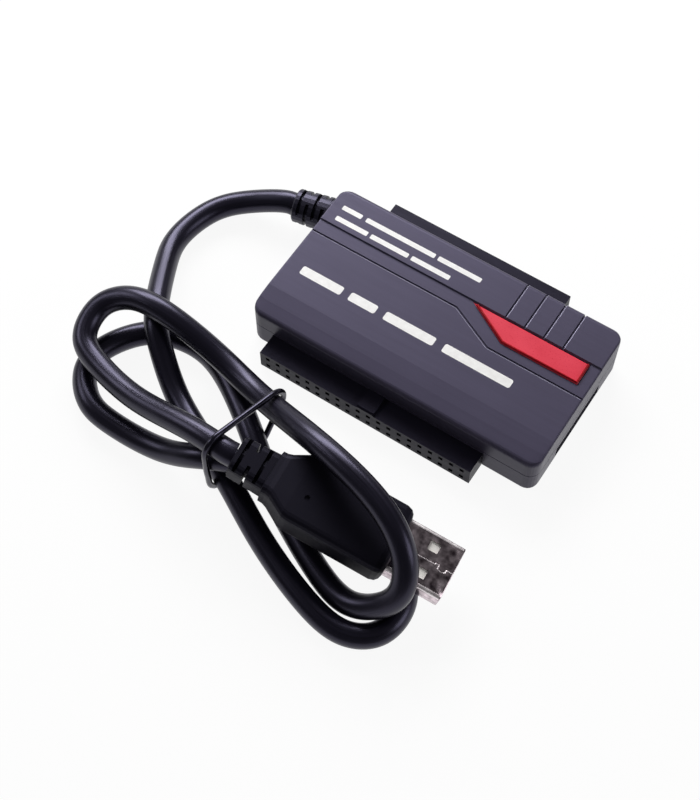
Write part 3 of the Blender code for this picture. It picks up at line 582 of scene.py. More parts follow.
def rounded(x0: float, x1: float, y0: float, y1: float, radius: float, steps: int = 5) -> list[Pair]:
    """Give a rounded rectangle's outline.

    Args:
        x0: Low x.
        x1: High x.
        y0: Low y.
        y1: High y.
        radius: Corner radius.
        steps: Steps in each corner.

    Returns:
        Its points, turning left.
    """
    points = []
    corners = ((x1, y0, -1, 1, -90), (x1, y1, -1, -1, 0), (x0, y1, 1, -1, 90), (x0, y0, 1, 1, 180))
    for x, y, inx, iny, start in corners:
        for k in range(steps + 1):
            turn = math.radians(start + 90 * k / steps)
            points.append((x + inx * radius + radius * math.cos(turn), y + iny * radius + radius * math.sin(turn)))
    return points


def pillar(name: str, outline: Sequence[Sequence[float]], low: float, high: float) -> bpy.types.Mesh:
    """Raise an outline, read by its X and Y, from one height to another."""
    return loft(name, [[(point[0], point[1], z) for point in outline] for z in (low, high)])


def cut(mesh: bpy.types.Mesh, tools: Sequence[bpy.types.Mesh]) -> bpy.types.Mesh:
    """Cut tools out of a mesh.

    Args:
        mesh: The mesh to cut.
        tools: Closed meshes.

    Returns:
        The cut mesh.
    """
    holder = linked("holder", mesh)
    helpers = [linked("tool", tool) for tool in tools]
    for helper in helpers:
        step = holder.modifiers.new("cut", "BOOLEAN")
        step.solver = "EXACT"
        step.object = helper
    graph = bpy.context.evaluated_depsgraph_get()
    result = bpy.data.meshes.new_from_object(holder.evaluated_get(graph))
    for used in (holder, *helpers):
        bpy.data.objects.remove(used, do_unlink=True)
    return result


# Geometry Nodes


@dataclass
class Grower:
    """A Geometry Nodes tree with named inputs."""

    name: str
    inputs: dict[str, str]
    tree: Tree = field(init=False)
    entry: Any = field(init=False)

    def __post_init__(self) -> None:
        """Make the tree and its named inputs."""
        self.tree = bpy.data.node_groups.new(self.name, "GeometryNodeTree")
        self.tree.interface.new_socket(name="Geometry", in_out="INPUT", socket_type="NodeSocketGeometry")
        for name, kind in self.inputs.items():
            self.tree.interface.new_socket(name=name, in_out="INPUT", socket_type=f"NodeSocket{kind}")
        self.tree.interface.new_socket(name="Geometry", in_out="OUTPUT", socket_type="NodeSocketGeometry")
        self.entry = add_node(self.tree, "NodeGroupInput").outputs

    def close(self, geometry: Any) -> None:
        """End the tree in Realize Instances and Set Material.

        Args:
            geometry: What the tree has made.
        """
        real = add_node(self.tree, "GeometryNodeRealizeInstances", {"Geometry": geometry}).outputs[0]
        painted = add_node(
            self.tree, "GeometryNodeSetMaterial", {"Geometry": real, "Material": self.entry["Material"]}
        ).outputs[0]
        add_node(self.tree, "NodeGroupOutput", {"Geometry": painted})

    def grow(self, data: Any, values: dict[str, Any]) -> bpy.types.Mesh:
        """Run the tree on some data.

        Args:
            data: A mesh or a curve.
            values: The named inputs' values.

        Returns:
            The plain mesh.
        """
        holder = linked("holder", data)
        step = holder.modifiers.new(self.name, "NODES")
        step.node_group = self.tree
        for item in self.tree.interface.items_tree:
            if item.in_out == "INPUT" and item.name in values:
                step[item.identifier] = values[item.name]
        graph = bpy.context.evaluated_depsgraph_get()
        mesh = bpy.data.meshes.new_from_object(
            holder.evaluated_get(graph), preserve_all_data_layers=True, depsgraph=graph
        )
        holder.modifiers.remove(step)
        bpy.data.objects.remove(holder, do_unlink=True)
        return mesh


def tube_grower() -> Grower:
    """Make the tree that runs a round section along a path and keeps where each point is.

    Returns:
        The tree.
    """
    kinds = {"Radius": "Float", "Sides": "Int", "Capped": "Bool", "Material": "Material"}
    grower = Grower("tube along a path", kinds)
    tree, entry = grower.tree, grower.entry
    way = add_node(tree, "GeometryNodeSplineParameter").outputs["Length"]
    path = add_node(
        tree, "GeometryNodeStoreNamedAttribute", {"Geometry": entry["Geometry"], "Name": "along", "Value": way}
    ).outputs[0]
    ring = add_node(
        tree, "GeometryNodeCurvePrimitiveCircle", {"Resolution": entry["Sides"], "Radius": entry["Radius"]}
    ).outputs[0]
    turn = add_node(tree, "GeometryNodeSplineParameter").outputs["Length"]
    section = add_node(
        tree, "GeometryNodeStoreNamedAttribute", {"Geometry": ring, "Name": "around", "Value": turn}
    ).outputs[0]
    skin = add_node(
        tree, "GeometryNodeCurveToMesh", {"Curve": path, "Profile Curve": section, "Fill Caps": entry["Capped"]}
    ).outputs[0]
    grower.close(skin)
    return grower


def grid_grower() -> Grower:
    """Make the tree that sets one small piece at every point of a grid across X and Z.

    Returns:
        The tree.
    """
    kinds = {"Piece": "Object", "Columns": "Int", "Rows": "Int", "Pitch": "Float", "Row pitch": "Float",
             "Middle": "Vector", "Material": "Material"}
    grower = Grower("pieces in a grid", kinds)
    tree, entry = grower.tree, grower.entry
    sizes = []
    for count, pitch in (("Columns", "Pitch"), ("Rows", "Row pitch")):
        gaps = add_node(tree, "ShaderNodeMath", {0: entry[count], 1: 1.0}, operation="SUBTRACT").outputs[0]
        sizes.append(add_node(tree, "ShaderNodeMath", {0: gaps, 1: entry[pitch]}, operation="MULTIPLY").outputs[0])
    grid = add_node(
        tree, "GeometryNodeMeshGrid",
        {"Size X": sizes[0], "Size Y": sizes[1], "Vertices X": entry["Columns"], "Vertices Y": entry["Rows"]},
    ).outputs["Mesh"]
    raised = add_node(
        tree, "GeometryNodeTransform",
        {"Geometry": grid, "Translation": entry["Middle"], "Rotation": (math.pi / 2, 0.0, 0.0)},
    ).outputs[0]
    piece = add_node(tree, "GeometryNodeObjectInfo", {"Object": entry["Piece"]}).outputs["Geometry"]
    placed = add_node(tree, "GeometryNodeInstanceOnPoints", {"Points": raised, "Instance": piece}).outputs[0]
    grower.close(placed)
    return grower


def smooth_path(points: Sequence[Point], count: int) -> np.ndarray:
    """Read a natural cubic spline through points at many even steps of its parameter.

    Args:
        points: The points it goes through.
        count: How many points to read.

    Returns:
        The points read, one row each.
    """
    places = np.asarray(points, float)
    knots = np.concatenate([[0], np.cumsum(np.sqrt(np.linalg.norm(np.diff(places, axis=0), axis=1)))])
    gap = np.diff(knots)
    size = len(places)
    system = np.eye(size)
    right = np.zeros_like(places)
    for i in range(1, size - 1):
        system[i, i - 1 : i + 2] = gap[i - 1], 2 * (gap[i - 1] + gap[i]), gap[i]
        right[i] = 6 * ((places[i + 1] - places[i]) / gap[i] - (places[i] - places[i - 1]) / gap[i - 1])
    bend = np.linalg.solve(system, right)
    at = np.linspace(0, knots[-1], count)
    i = np.clip(np.searchsorted(knots, at, side="right") - 1, 0, size - 2)
    a = ((knots[i + 1] - at) / gap[i])[:, None]
    b = 1 - a
    lift = ((a**3 - a) * bend[i] + (b**3 - b) * bend[i + 1]) * (gap[i] ** 2)[:, None] / 6
    return a * places[i] + b * places[i + 1] + lift


def path_curve(points: Iterable[Sequence[float]], closed: bool = False) -> bpy.types.Curve:
    """Make a curve of one spline.

    Args:
        points: Its points.
        closed: Whether it closes on itself.

    Returns:
        The curve.
    """
    places = [tuple(point) for point in points]
    curve = bpy.data.curves.new("path", "CURVE")
    curve.dimensions = "3D"
    curve.twist_mode = "MINIMUM"
    spline = curve.splines.new("POLY")
    spline.points.add(len(places) - 1)
    for place, point in zip(spline.points, places):
        place.co = (*point, 1.0)
    spline.use_cyclic_u = closed
    return curve


def tube(grower: Grower, points: Iterable[Sequence[float]], radius: float, sides: int, finish: Finish,
         closed: bool = False) -> bpy.types.Mesh:
    """Run a round section along a path, with caps unless the path closes on itself."""
    values = {"Radius": radius, "Sides": sides, "Capped": not closed, "Material": material(finish)}
    return grower.grow(path_curve(points, closed), values)


# Sub-assemblies


@dataclass
class Housing:
    """The two moulded halves, the red window and the plain printed marks on top.

    The bevel's drop, a sink and a bar's corner are shares of the bevel, the radius and the height they go with.
    """

    back_y: float = 0.0191
    field_height: float = 0.0118
    top: float = 0.0122
    ceiling: float = 0.0102
    strip_y: float = 0.0088
    window_tip_x: float = 0.0042
    window_length: float = 0.0281
    window_depth: float = 0.0055
    window_slope: float = 0.0100
    window_gap: float = 0.0002
    window_proud: float = 0.0002
    window_bevel: float = 0.00035
    bevel_drop: float = 0.8
    flange: float = 0.0007
    flange_top: float = 0.0001
    flange_foot: float = 0.0008
    rim_radius: float = 0.00028
    rim_sink: float = 0.3
    groove_width: float = 0.0005
    groove_left_y: float = 0.0056
    groove_right_y: float = 0.0006
    groove_end: float = 0.0346
    bend: Pair = (0.0018, 0.0122)
    rib_x: float = 0.01185
    rib_pitch: float = 0.00462
    rib_count: int = 4
    rib_start: float = 0.0003
    rib_foot: float = 0.0068
    back_edge_radius: float = 0.0012
    edge_radius: float = 0.0001
    edge_sink: float = 0.55
    ink_height: float = 0.00002
    ink_depth: float = 0.00005
    bar_corner: float = 0.22
    title_y: float = -0.0043
    title_height: float = 0.0022
    upper_y: float = 0.0139
    lower_y: float = 0.0108
    line_height: float = 0.0012
    title_spans: tuple[Pair, ...] = ((-31.0, -20.6), (-18.7, -12.0), (-9.9, 2.4), (4.6, 21.0))
    upper_spans: tuple[Pair, ...] = ((-32.3, -27.3), (-26.2, -8.6), (-7.8, 2.9))
    lower_spans: tuple[Pair, ...] = ((-32.1, -23.9), (-23.1, -13.5), (-12.7, -3.1))

    def window_ring(self, inset: float, z: float) -> list[Point]:
        """Give the window's outline drawn in by an inset at one height.

        Args:
            inset: How far inside the outline.
            z: Its height.

        Returns:
            Four corners.
        """
        edge = self.strip_y - self.window_gap
        back = edge - inset
        front = edge - self.window_depth + inset
        lean = self.window_slope / self.window_depth
        extra = inset * math.hypot(1.0, lean)
        tip = self.window_tip_x + (edge - back) * lean + extra
        near = self.window_tip_x + (edge - front) * lean + extra
        right = self.window_tip_x + self.window_length - inset
        return [(tip, back, z), (near, front, z), (right, front, z), (right, back, z)]

    def build_window(self) -> bpy.types.Object:
        """Build the window with its flange and a bevel round its face.

        Returns:
            The piece.
        """
        face = self.field_height + self.window_proud
        rings = [
            self.window_ring(-self.flange, self.ceiling - self.flange_foot),
            self.window_ring(-self.flange, self.ceiling - self.flange_top),
            self.window_ring(0.0, self.ceiling - self.flange_top),
            self.window_ring(0.0, face - self.window_bevel * self.bevel_drop),
            self.window_ring(self.window_bevel, face),
        ]
        window = new_object("window_face", loft("window_face", rings), WINDOW_ACRYLIC, angle=20.0)
        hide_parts("indicator_window")
        return window

    def build_rim(self, tubes: Grower) -> bpy.types.Object:
        """Build the window's bevelled edge, which follows its front, slanted and right sides, in a darker red that
        paints shade on them.
        """
        path = self.window_ring(self.rim_radius, self.top - self.rim_radius * self.rim_sink)
        return new_object("window_rim", tube(tubes, path, self.rim_radius, 10, SHADED_RIM_ACRYLIC), SHADED_RIM_ACRYLIC)

    def groove_paths(self) -> list[list[Point]]:
        """Give the edges of the grooves that face the light.

        Returns:
            A path along each edge.
        """
        half, end, sink = self.groove_width / 2, self.groove_end, self.edge_radius * self.edge_sink
        z, top = self.field_height - sink, self.top - sink
        start, stop = self.bend
        shift = half * math.tan(math.atan2(self.groove_left_y - self.groove_right_y, stop - start) / 2)
        left, right = self.groove_left_y - half, self.groove_right_y - half
        paths = [[(-end, left, z), (start - shift, left, z), (stop - shift, right, z), (end, right, z)]]
        reach = self.back_edge_radius - sink
        middle_y, middle_z = self.back_y - self.back_edge_radius, self.top - self.back_edge_radius
        for k in range(self.rib_count):
            x = self.rib_x + k * self.rib_pitch + half
            path = [(x, self.strip_y + self.rib_start, top), (x, middle_y, top)]
            for turn in (math.radians(degrees) for degrees in (70, 45, 20, 0)):
                path.append((x, middle_y + reach * math.cos(turn), middle_z + reach * math.sin(turn)))
            paths.append([*path, (x, self.back_y - sink, self.rib_foot)])
        return paths

    def build_edges(self, tubes: Grower) -> bpy.types.Object:
        """Build the rounded edges of the grooves, in a lighter plastic that paints a highlight on them."""
        edges = [tube(tubes, path, self.edge_radius, 8, HIGHLIGHT_EDGE_ABS) for path in self.groove_paths()]
        return new_object("groove_edges", joined("groove_edges", edges), HIGHLIGHT_EDGE_ABS)

    def marks(self, name: str, spans: Sequence[Pair], y: float, height: float, surface: float) -> bpy.types.Object:
        """Print a row of plain bars on the top.

        Args:
            name: The piece's name.
            spans: Where each bar starts and ends along X, in millimetres.
            y: The row's middle.
            height: The bars' height across Y.
            surface: The height of the face they lie on.

        Returns:
            The printed row.
        """
        bars = []
        for start, end in spans:
            corner = height * self.bar_corner
            outline = rounded(start / 1000, end / 1000, y - height / 2, y + height / 2, corner, steps=4)
            bars.append(pillar("bar", outline, surface - self.ink_depth, surface + self.ink_height))
        return new_object(name, joined(name, bars), WHITE_INK)

    def build(self, nodes: Nodes, tubes: Grower) -> list[bpy.types.Object]:
        """Dress the halves and screws and add the window, the groove edges and the marks.

        Args:
            nodes: The part's CAD nodes.
            tubes: The tree that makes tubes.

        Returns:
            The new pieces.
        """
        dress(nodes, HOUSING_ABS, "upper_shell", "lower_shell")
        dress(nodes, SCREW_STEEL, "housing_screw_1", "housing_screw_2")
        return [
            self.build_window(),
            self.build_rim(tubes),
            self.build_edges(tubes),
            self.marks("mark_row_front", self.title_spans, self.title_y, self.title_height, self.field_height),
            self.marks("mark_row_back", self.upper_spans, self.upper_y, self.line_height, self.top),
            self.marks("mark_row_middle", self.lower_spans, self.lower_y, self.line_height, self.top),
        ]


def dress(nodes: Nodes, finish: Finish, *names: str) -> None:
    """Give CAD nodes a finish.

    Args:
        nodes: The part's CAD nodes.
        finish: The finish.
        *names: The nodes' names.
    """
    for name in names:
        for slot in nodes[name].material_slots:
            slot.material = material(finish)


@dataclass
class SocketRow:
    """The contacts of one socket: two rows of sprung leaves inside its holes.

    The holes run towards +Y where inward is 1, and towards -Y where it is -1. Shares are of half a hole's width.
    """

    name: str
    columns: int
    pitch: float
    hole: float
    middle: Point
    inward: int
    depth: float = 0.0030
    recess: float = 0.0006
    gap: float = 0.00006
    thickness: float = 0.00010
    pinch: float = 0.0009
    width_share: float = 0.7
    waist_share: float = 0.35
    tail_share: float = 0.8

    def leaf(self) -> bpy.types.Mesh:
        """Build one pair of sprung leaves that lean together inside a hole.

        Returns:
            Their mesh, round the hole's middle.
        """
        half = self.hole / 2 - self.gap
        width, waist, tail = half * self.width_share, half * self.waist_share, half * self.tail_share
        line = [(half, self.recess), (waist, self.recess + self.pinch), (tail, self.depth)]
        leaves = []
        for side in (-1, 1):
            rings = []
            for z, y in line:
                face, back, deep = side * z, side * (z - self.thickness), y * self.inward
                rings.append([(-width, deep, face), (width, deep, face), (width, deep, back), (-width, deep, back)])
            leaves.append(loft("leaf", rings))
        return joined("leaf", leaves)

    def build(self, grower: Grower) -> bpy.types.Object:
        """Set a pair of leaves in every hole.

        Args:
            grower: The tree that repeats them.

        Returns:
            The contacts.
        """
        leaf = linked("leaf", self.leaf())
        values = {
            "Piece": leaf, "Columns": self.columns, "Rows": 2, "Pitch": self.pitch, "Row pitch": self.pitch,
            "Middle": self.middle, "Material": material(GOLD),
        }
        mesh = grower.grow(bpy.data.meshes.new("seed"), values)
        bpy.data.objects.remove(leaf, do_unlink=True)
        return new_object(self.name, mesh, GOLD)


@dataclass
class Sockets:
    """The wide socket in front, the slim socket behind and the data header at the end."""

    wide: SocketRow = field(default_factory=lambda: SocketRow(
        "wide_socket_contacts", 20, 0.00254, 0.0010, (-0.0032, -0.0231, 0.00255), 1))
    slim: SocketRow = field(default_factory=lambda: SocketRow(
        "slim_socket_contacts", 22, 0.0020, 0.00079, (-0.0021, 0.0231, 0.0067), -1))

    def build(self, nodes: Nodes, grower: Grower) -> list[bpy.types.Object]:
        """Dress the sockets and add their contacts.

        Args:
            nodes: The part's CAD nodes.
            grower: The tree that repeats contacts.

        Returns:
            The new pieces.
        """
        dress(nodes, SOCKET_PBT, "wide_socket", "slim_socket", "data_header")
        dress(nodes, GOLD, *(f"data_contact_{k}" for k in range(1, 8)))
        return [self.wide.build(grower), self.slim.build(grower)]


@dataclass
class Board:
    """The circuit board and the parts on it."""

    def build(self, nodes: Nodes) -> None:
        """Dress the board and its parts.

        Args:
            nodes: The part's CAD nodes.
        """
        dress(nodes, LAMINATE, "circuit_board")
        dress(nodes, CHIP_EPOXY, "bridge_chip", "memory_chip", "regulator")
        dress(nodes, SCREW_STEEL, "crystal_can")
        dress(nodes, CERAMIC, "capacitor_1", "capacitor_2", "capacitor_3")
        dress(nodes, LAMP_EPOXY, "indicator_lamp_1", "indicator_lamp_2")


@dataclass
class Plug:
    """The flat plug: moulded body, stamped shell with its locked seam, tongue and contacts."""

    mouth: Point = (0.0319, -0.0458, 0.0075)
    yaw: float = 5.6
    pitch: float = 10.75
    shell_reach: float = 0.0120
    shell_width: float = 0.0120
    shell_thickness: float = 0.0045
    shell_wall: float = 0.0003
    shell_seat: float = 0.0040
    hole: float = 0.0022
    hole_x: float = 0.0057
    hole_y: float = 0.0030
    hole_radius: float = 0.0002
    edge: float = 0.00066
    edge_start: float = 0.0003
    edge_proud: float = 0.00002
    rim_inset: float = 0.00008
    rim_depth: float = 0.0001
    rim_radius: float = 0.0006
    hollow_radius: float = 0.0003
    over: float = 0.001
    seam: float = 0.00014
    lip_sink: float = 0.3
    seam_path: tuple[Pair, ...] = (
        (0.1, 0.0), (1.5, 0.0), (1.5, 0.6), (2.4, 0.9), (3.2, 0.6), (3.2, -0.3), (4.0, -0.3), (4.0, 0.0), (13.0, 0.0)
    )
    body: float = 0.0285
    relief: float = 0.0080

    def frame(self) -> Matrix:
        """Give the plug's frame, whose X runs back from its mouth and whose Z is its thickness.

        Returns:
            The frame's matrix.
        """
        yaw, pitch = math.radians(self.yaw), math.radians(self.pitch)
        out = Vector((math.cos(yaw) * math.cos(pitch), math.sin(yaw) * math.cos(pitch), -math.sin(pitch)))
        across = Vector((-math.sin(yaw), math.cos(yaw), 0.0))
        turn = Matrix((-out, -across, out.cross(across))).transposed().to_4x4()
        return Matrix.Translation(Vector(self.mouth)) @ turn

    def section(self, x: float, inset: float, radius: float) -> list[Point]:
        """Give the shell's section at a distance from its mouth, some way inside its outer face."""
        wide, thick = self.shell_width / 2 - inset, self.shell_thickness / 2 - inset
        return [(x, y, z) for y, z in rounded(-wide, wide, -thick, thick, radius)]

    def seam_cuts(self) -> list[bpy.types.Mesh]:
        """Give the narrow slots of the seam and its dovetail lock on the seen face.

        Returns:
            Slots to cut.
        """
        top = self.shell_thickness / 2
        path = [Vector((-self.over, 0.0)), *(Vector((x / 1000, y / 1000)) for x, y in self.seam_path)]
        cuts = []
        for start, end in zip(path, path[1:]):
            way = (end - start).normalized() * self.seam / 2
            side = Vector((-way.y, way.x))
            corners = [start - way - side, end + way - side, end + way + side, start - way + side]
            cuts.append(pillar("slot", corners, top - self.seam, top + self.over / 2))
        return cuts

    def build_shell(self) -> bpy.types.Object:
        """Build the stamped shell with rounded edges, a softened mouth, holes and a seam.

        Returns:
            The piece.
        """
        end = self.shell_reach + self.shell_seat
        outer = loft("outer", [
            self.section(0.0, self.rim_inset, self.rim_radius), self.section(self.rim_depth, 0.0, self.edge),
            self.section(end, 0.0, self.edge),
        ])
        ends = (-self.over, end + self.over)
        hollow = loft("hollow", [self.section(x, self.shell_wall, self.hollow_radius) for x in ends])
        half = self.hole / 2
        holes = []
        for y in (-self.hole_y, self.hole_y):
            outline = rounded(self.hole_x - half, self.hole_x + half, y - half, y + half, self.hole_radius, steps=3)
            holes.append(pillar("hole", outline, -self.shell_thickness, self.shell_thickness))
        mesh = cut(outer, [hollow, *holes, *self.seam_cuts()])
        mesh.transform(self.frame())
        shell = new_object("plug_shell_stamped", mesh, NICKEL, angle=40.0)
        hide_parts("plug_shell")
        return shell

    def build_seam(self, tubes: Grower) -> bpy.types.Object:
        """Build the rolled lip along the shell's locked seam and the shell's two rounded edges, in a near-white
        nickel that paints a highlight on them.

        Args:
            tubes: The tree that makes tubes.

        Returns:
            The lip and the edges.
        """
        face, turn = self.shell_thickness / 2, self.frame()
        lip = [(x / 1000, y / 1000 + self.seam, face - self.seam * self.lip_sink) for x, y in self.seam_path]
        lines = [(self.seam, lip)]
        bend = self.edge - self.edge_proud
        for way in (-1, 1):
            reach = way * (self.shell_width / 2 - bend)
            ends = (self.edge_start, self.shell_reach + self.over)
            lines.append((self.edge, [(x, reach, face - bend) for x in ends]))
        meshes = [
            tube(tubes, [turn @ Vector(point) for point in line], radius, 24, HIGHLIGHT_NICKEL)
            for radius, line in lines
        ]
        return new_object("shell_seam", joined("shell_seam", meshes), HIGHLIGHT_NICKEL)

    def build(self, nodes: Nodes, tubes: Grower) -> list[bpy.types.Object]:
        """Dress the plug's nodes and build its shell and seam.

        Args:
            nodes: The part's CAD nodes.
            tubes: The tree that makes tubes.

        Returns:
            The new pieces.
        """
        dress(nodes, PLUG_PVC, "plug_overmould")
        dress(nodes, TONGUE_NYLON, "plug_tongue")
        dress(nodes, GOLD, *(f"plug_contact_{k}" for k in range(1, 5)))
        return [self.build_shell(), self.build_seam(tubes)]


@dataclass
class CordSet:
    """The cord from the housing's relief to the plug, and the wire tie that holds its turns.

    The tie's loop lies in an upright plane through its origin, and its points are across that plane and up.
    """

    plug: Plug
    diameter: float = 0.0052
    gap: float = 0.0003
    straight: float = 0.0022
    exit: Point = (-0.035, 0.0143, 0.0061)
    exit_turn: float = 12.0
    relief_length: float = 0.0090
    tie_diameter: float = 0.0013
    tie_origin: Point = (-0.0170, -0.0323, 0.0)
    tie_turn: float = -99.07
    path_points: int = 900
    tie_points: int = 150
    route: tuple[Point, ...] = (
        (-54.5, 8.4, 3.8), (-60.2, 2.6, 2.8), (-62.3, -7.5, 3.0), (-59.5, -16.0, 4.6),
        (-52.0, -29.0, 8.2), (-48.0, -33.5, 7.4), (-39.5, -40.0, 4.0), (-29.5, -45.5, 4.0),
        (-16.5, -52.0, 4.2), (-5.0, -58.0, 3.0), (10.5, -64.2, 2.8), (19.9, -65.2, 2.7),
        (25.5, -61.5, 2.8), (26.5, -55.0, 3.0), (23.5, -49.5, 2.7), (16.5, -46.0, 3.0),
        (5.5, -44.5, 3.2), (-3.5, -45.5, 6.8), (-15.5, -48.5, 9.8), (-23.5, -51.5, 9.4),
        (-33.5, -53.0, 4.4), (-47.5, -53.0, 2.8), (-53.5, -51.5, 3.0), (-58.5, -46.5, 2.7),
        (-59.0, -40.5, 3.0), (-53.5, -31.5, 2.7), (-46.5, -28.5, 2.8), (-39.0, -28.5, 2.7),
        (-28.0, -34.0, 4.0), (-17.0, -42.0, 4.0), (-9.5, -47.5, 2.8), (6.5, -56.5, 2.8),
        (16.5, -60.0, 4.0), (22.5, -59.0, 7.2), (26.0, -56.0, 11.6), (25.0, -52.0, 16.4),
        (20.0, -48.0, 20.4), (11.0, -44.5, 22.2), (-2.0, -41.0, 20.8), (-14.5, -36.5, 14.0),
        (-24.5, -33.0, 9.6), (-35.0, -30.5, 9.8), (-48.0, -30.0, 13.8), (-56.5, -30.5, 13.0),
        (-61.0, -33.0, 11.2), (-62.5, -36.5, 9.8), (-61.0, -42.0, 8.6), (-54.5, -45.5, 8.4),
        (-42.0, -48.5, 10.6), (-26.5, -50.0, 15.8),
    )
    tie_loop: tuple[Pair, ...] = (
        (21.83, 4.31), (21.97, 7.23), (22.09, 10.16), (22.05, 13.08), (22.0, 16.01), (21.42, 18.82), (19.04, 20.36),
        (16.18, 19.92), (13.37, 19.13), (10.55, 18.33), (7.73, 17.54), (4.91, 16.75), (2.12, 15.9), (0.07, 13.9),
        (-0.28, 11.06), (1.17, 8.54), (2.84, 6.13), (4.5, 3.73), (6.36, 1.49), (9.11, 0.76), (12.04, 0.77),
        (14.97, 0.82), (17.89, 0.87), (20.61, 1.76),
    )

    def path(self) -> np.ndarray:
        """Give the cord's centre line.

        Returns:
            Its points from the relief to the plug.
        """
        turn = Matrix.Rotation(math.radians(180 + self.exit_turn), 4, "Z")
        gland = Matrix.Translation(self.exit) @ turn
        head = [gland @ Vector((self.relief_length + self.gap + d, 0, 0)) for d in (0, self.straight)]
        end = self.plug.shell_reach + self.plug.body + self.plug.relief + self.gap
        tail = [self.plug.frame() @ Vector((end + d, 0, 0)) for d in (self.straight, 0)]
        middle = [Vector(point) / 1000 for point in self.route]
        return smooth_path([tuple(p) for p in (*head, *middle, *tail)], self.path_points)

    def build_cord(self, grower: Grower) -> bpy.types.Object:
        """Args:
            grower: The tree that makes tubes.

        Returns:
            The cord.
        """
        path = self.path()
        cord = new_object("cord_skin", tube(grower, path, self.diameter / 2, 28, CORD_PVC), CORD_PVC, angle=60.0)
        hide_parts("cord")
        return cord

    def tie_path(self) -> np.ndarray:
        """Give the tie's closed centre line.

        Returns:
            Its points, once round.
        """
        turn = math.radians(self.tie_turn)
        across = Vector((math.cos(turn), math.sin(turn), 0))
        loop = [Vector(self.tie_origin) + across * (u / 1000) + Vector((0, 0, v / 1000)) for u, v in self.tie_loop]
        # Three turns, of which the middle one is kept, so that the loop joins smoothly
        wrapped = [tuple(p) for p in (*loop, *loop, *loop)]
        return smooth_path(wrapped, 3 * self.tie_points + 1)[self.tie_points : 2 * self.tie_points]

    def build_tie(self, grower: Grower) -> bpy.types.Object:
        """Build the wire tie.

        Args:
            grower: The tree that makes tubes.

        Returns:
            The tie.
        """
        mesh = tube(grower, self.tie_path(), self.tie_diameter / 2, 14, TIE_PVC, closed=True)
        tie = new_object("tie_wire", mesh, TIE_PVC, angle=60.0)
        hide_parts("cord_tie")
        return tie

    def build(self, nodes: Nodes, grower: Grower) -> list[bpy.types.Object]:
        """Dress the relief and build the tie and the cord.

        Args:
            nodes: The part's CAD nodes.
            grower: The tree that makes tubes.

        Returns:
            The new pieces.
        """
        dress(nodes, RELIEF_PVC, "cord_relief")
        tie = self.build_tie(grower)
        return [tie, self.build_cord(grower)]


# Studio


class Lamp(Enum):
    """The studio's soft boxes: place, size and strength in watts."""

    KEY = ((-0.265, 0.285, 0.305), (0.40, 0.23), 3.05)
    SIDE = ((-0.80, -0.20, 0.55), (0.35, 0.35), 1.5)
    FILL = ((0.88, 0.18, 0.44), (0.50, 0.50), 2.4)


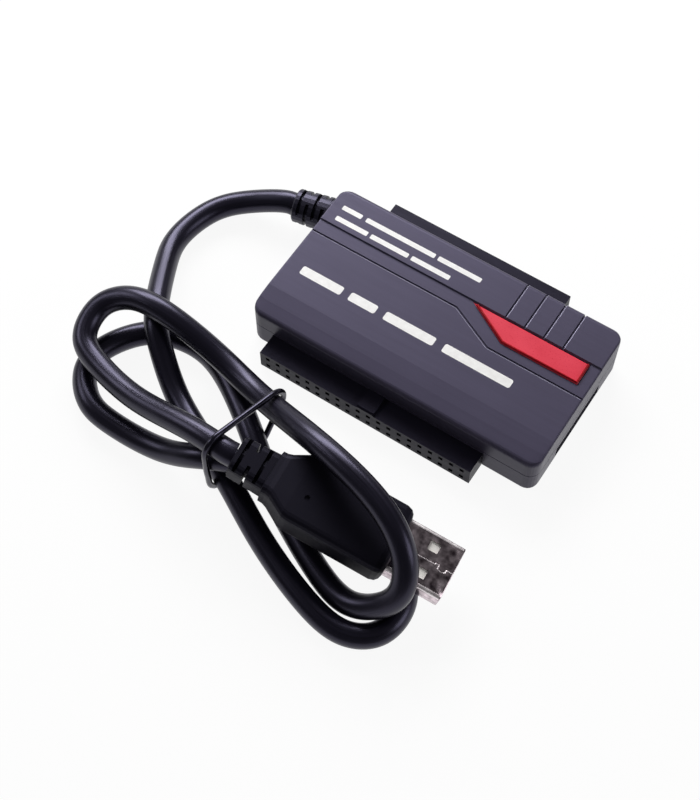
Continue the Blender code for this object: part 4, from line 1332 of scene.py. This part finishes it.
@dataclass
class Studio:
    """The pale floor, the soft lamps, the dim even world and the camera."""

    camera_place: Point = (0.0780, -0.1528, 0.2904)
    camera_target: Point = (-0.0084, -0.0200, 0.0)
    lens: float = 79.79
    target: Point = (0.0, -0.015, 0.0)
    world_strength: float = 0.11
    floor_size: float = 24.0
    floor_drop: float = 0.00005
    floor_tone: str = "#767676"
    floor_glow: float = 0.92

    def build_camera(self) -> None:
        """Set the camera at the photograph's angle."""
        data = bpy.data.cameras.new("camera")
        data.sensor_width = 36.0
        data.sensor_fit = "HORIZONTAL"
        data.lens = self.lens
        data.clip_start = 0.01
        data.clip_end = 40.0
        camera = linked("camera", data)
        camera.location = self.camera_place
        way = Vector(self.camera_target) - Vector(self.camera_place)
        camera.rotation_euler = way.to_track_quat("-Z", "Y").to_euler()
        bpy.context.scene.camera = camera

    def build_lamps(self) -> None:
        """Hang the soft boxes, each turned to the part."""
        for lamp in Lamp:
            place, size, strength = lamp.value
            data = bpy.data.lights.new(lamp.name.lower(), "AREA")
            data.shape = "RECTANGLE"
            data.size, data.size_y = size
            data.energy = strength
            box = linked(lamp.name.lower(), data)
            box.location = place
            box.rotation_euler = (Vector(self.target) - Vector(place)).to_track_quat("-Z", "Y").to_euler()

    def build_world(self) -> None:
        """Fill the room with a dim, even light."""
        world = bpy.data.worlds.new("studio")
        tree = blank_tree(world)
        light = add_node(tree, "ShaderNodeBackground", {"Color": (1, 1, 1, 1), "Strength": self.world_strength})
        add_node(tree, "ShaderNodeOutputWorld", {"Surface": light.outputs["Background"]})
        bpy.context.scene.world = world

    def floor_material(self) -> bpy.types.Material:
        """Make the white paper floor, which the camera and reflections see as white with its soft shadow.

        The glow is the share of plain white in what they see. The rest is paper under the lamps, which holds the
        shadow. Light that bounces off the floor is that of a grey paper, in the floor's tone.

        Returns:
            The material.
        """
        made = bpy.data.materials.new("white paper")
        tree = blank_tree(made)
        rays = add_node(tree, "ShaderNodeLightPath").outputs
        seen = rays["Is Camera Ray"]
        for kind in ("Is Glossy Ray", "Is Transmission Ray"):
            seen = add_node(tree, "ShaderNodeMath", {0: seen, 1: rays[kind]}, operation="MAXIMUM").outputs[0]
        tones = {0: seen, 6: linear(self.floor_tone), 7: (1, 1, 1, 1)}
        tone = add_node(tree, "ShaderNodeMix", tones, data_type="RGBA")
        paper = add_node(tree, "ShaderNodeBsdfDiffuse", {"Color": tone.outputs[2]})
        glow = add_node(tree, "ShaderNodeEmission", {"Color": (1, 1, 1, 1), "Strength": 1.0})
        share = add_node(tree, "ShaderNodeMath", {0: seen, 1: self.floor_glow}, operation="MULTIPLY").outputs[0]
        mix = add_node(tree, "ShaderNodeMixShader", {0: share, 1: paper.outputs[0], 2: glow.outputs[0]})
        add_node(tree, "ShaderNodeOutputMaterial", {"Surface": mix.outputs[0]})
        return made

    def build_floor(self) -> None:
        """Lay the floor under the part."""
        half = self.floor_size / 2
        corners = ((-half, -half, 0), (half, -half, 0), (half, half, 0), (-half, half, 0))
        build = bmesh.new()
        build.faces.new([build.verts.new(corner) for corner in corners])
        mesh = built_mesh("floor", build)
        mesh.materials.append(self.floor_material())
        floor = linked("floor", mesh)
        floor.location.z = -self.floor_drop

    def build(self) -> None:
        """Build the studio."""
        self.build_camera()
        self.build_lamps()
        self.build_world()
        self.build_floor()
        bpy.context.scene.view_settings.view_transform = "Standard"


def main() -> None:
    """Build the scene in order and report each piece."""
    logging.basicConfig(level=logging.INFO, format="%(name)s: %(message)s")
    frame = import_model()
    nodes = frame["nodes"]
    Studio().build()
    plug = Plug()
    tubes, grids = tube_grower(), grid_grower()
    made = [
        *plug.build(nodes, tubes),
        *CordSet(plug).build(nodes, tubes),
        *Housing().build(nodes, tubes),
        *Sockets().build(nodes, grids),
    ]
    Board().build(nodes)
    for piece in made:
        LOG.info("%s: %d faces", piece.name, len(piece.data.polygons))


if __name__ == "__main__":
    main()
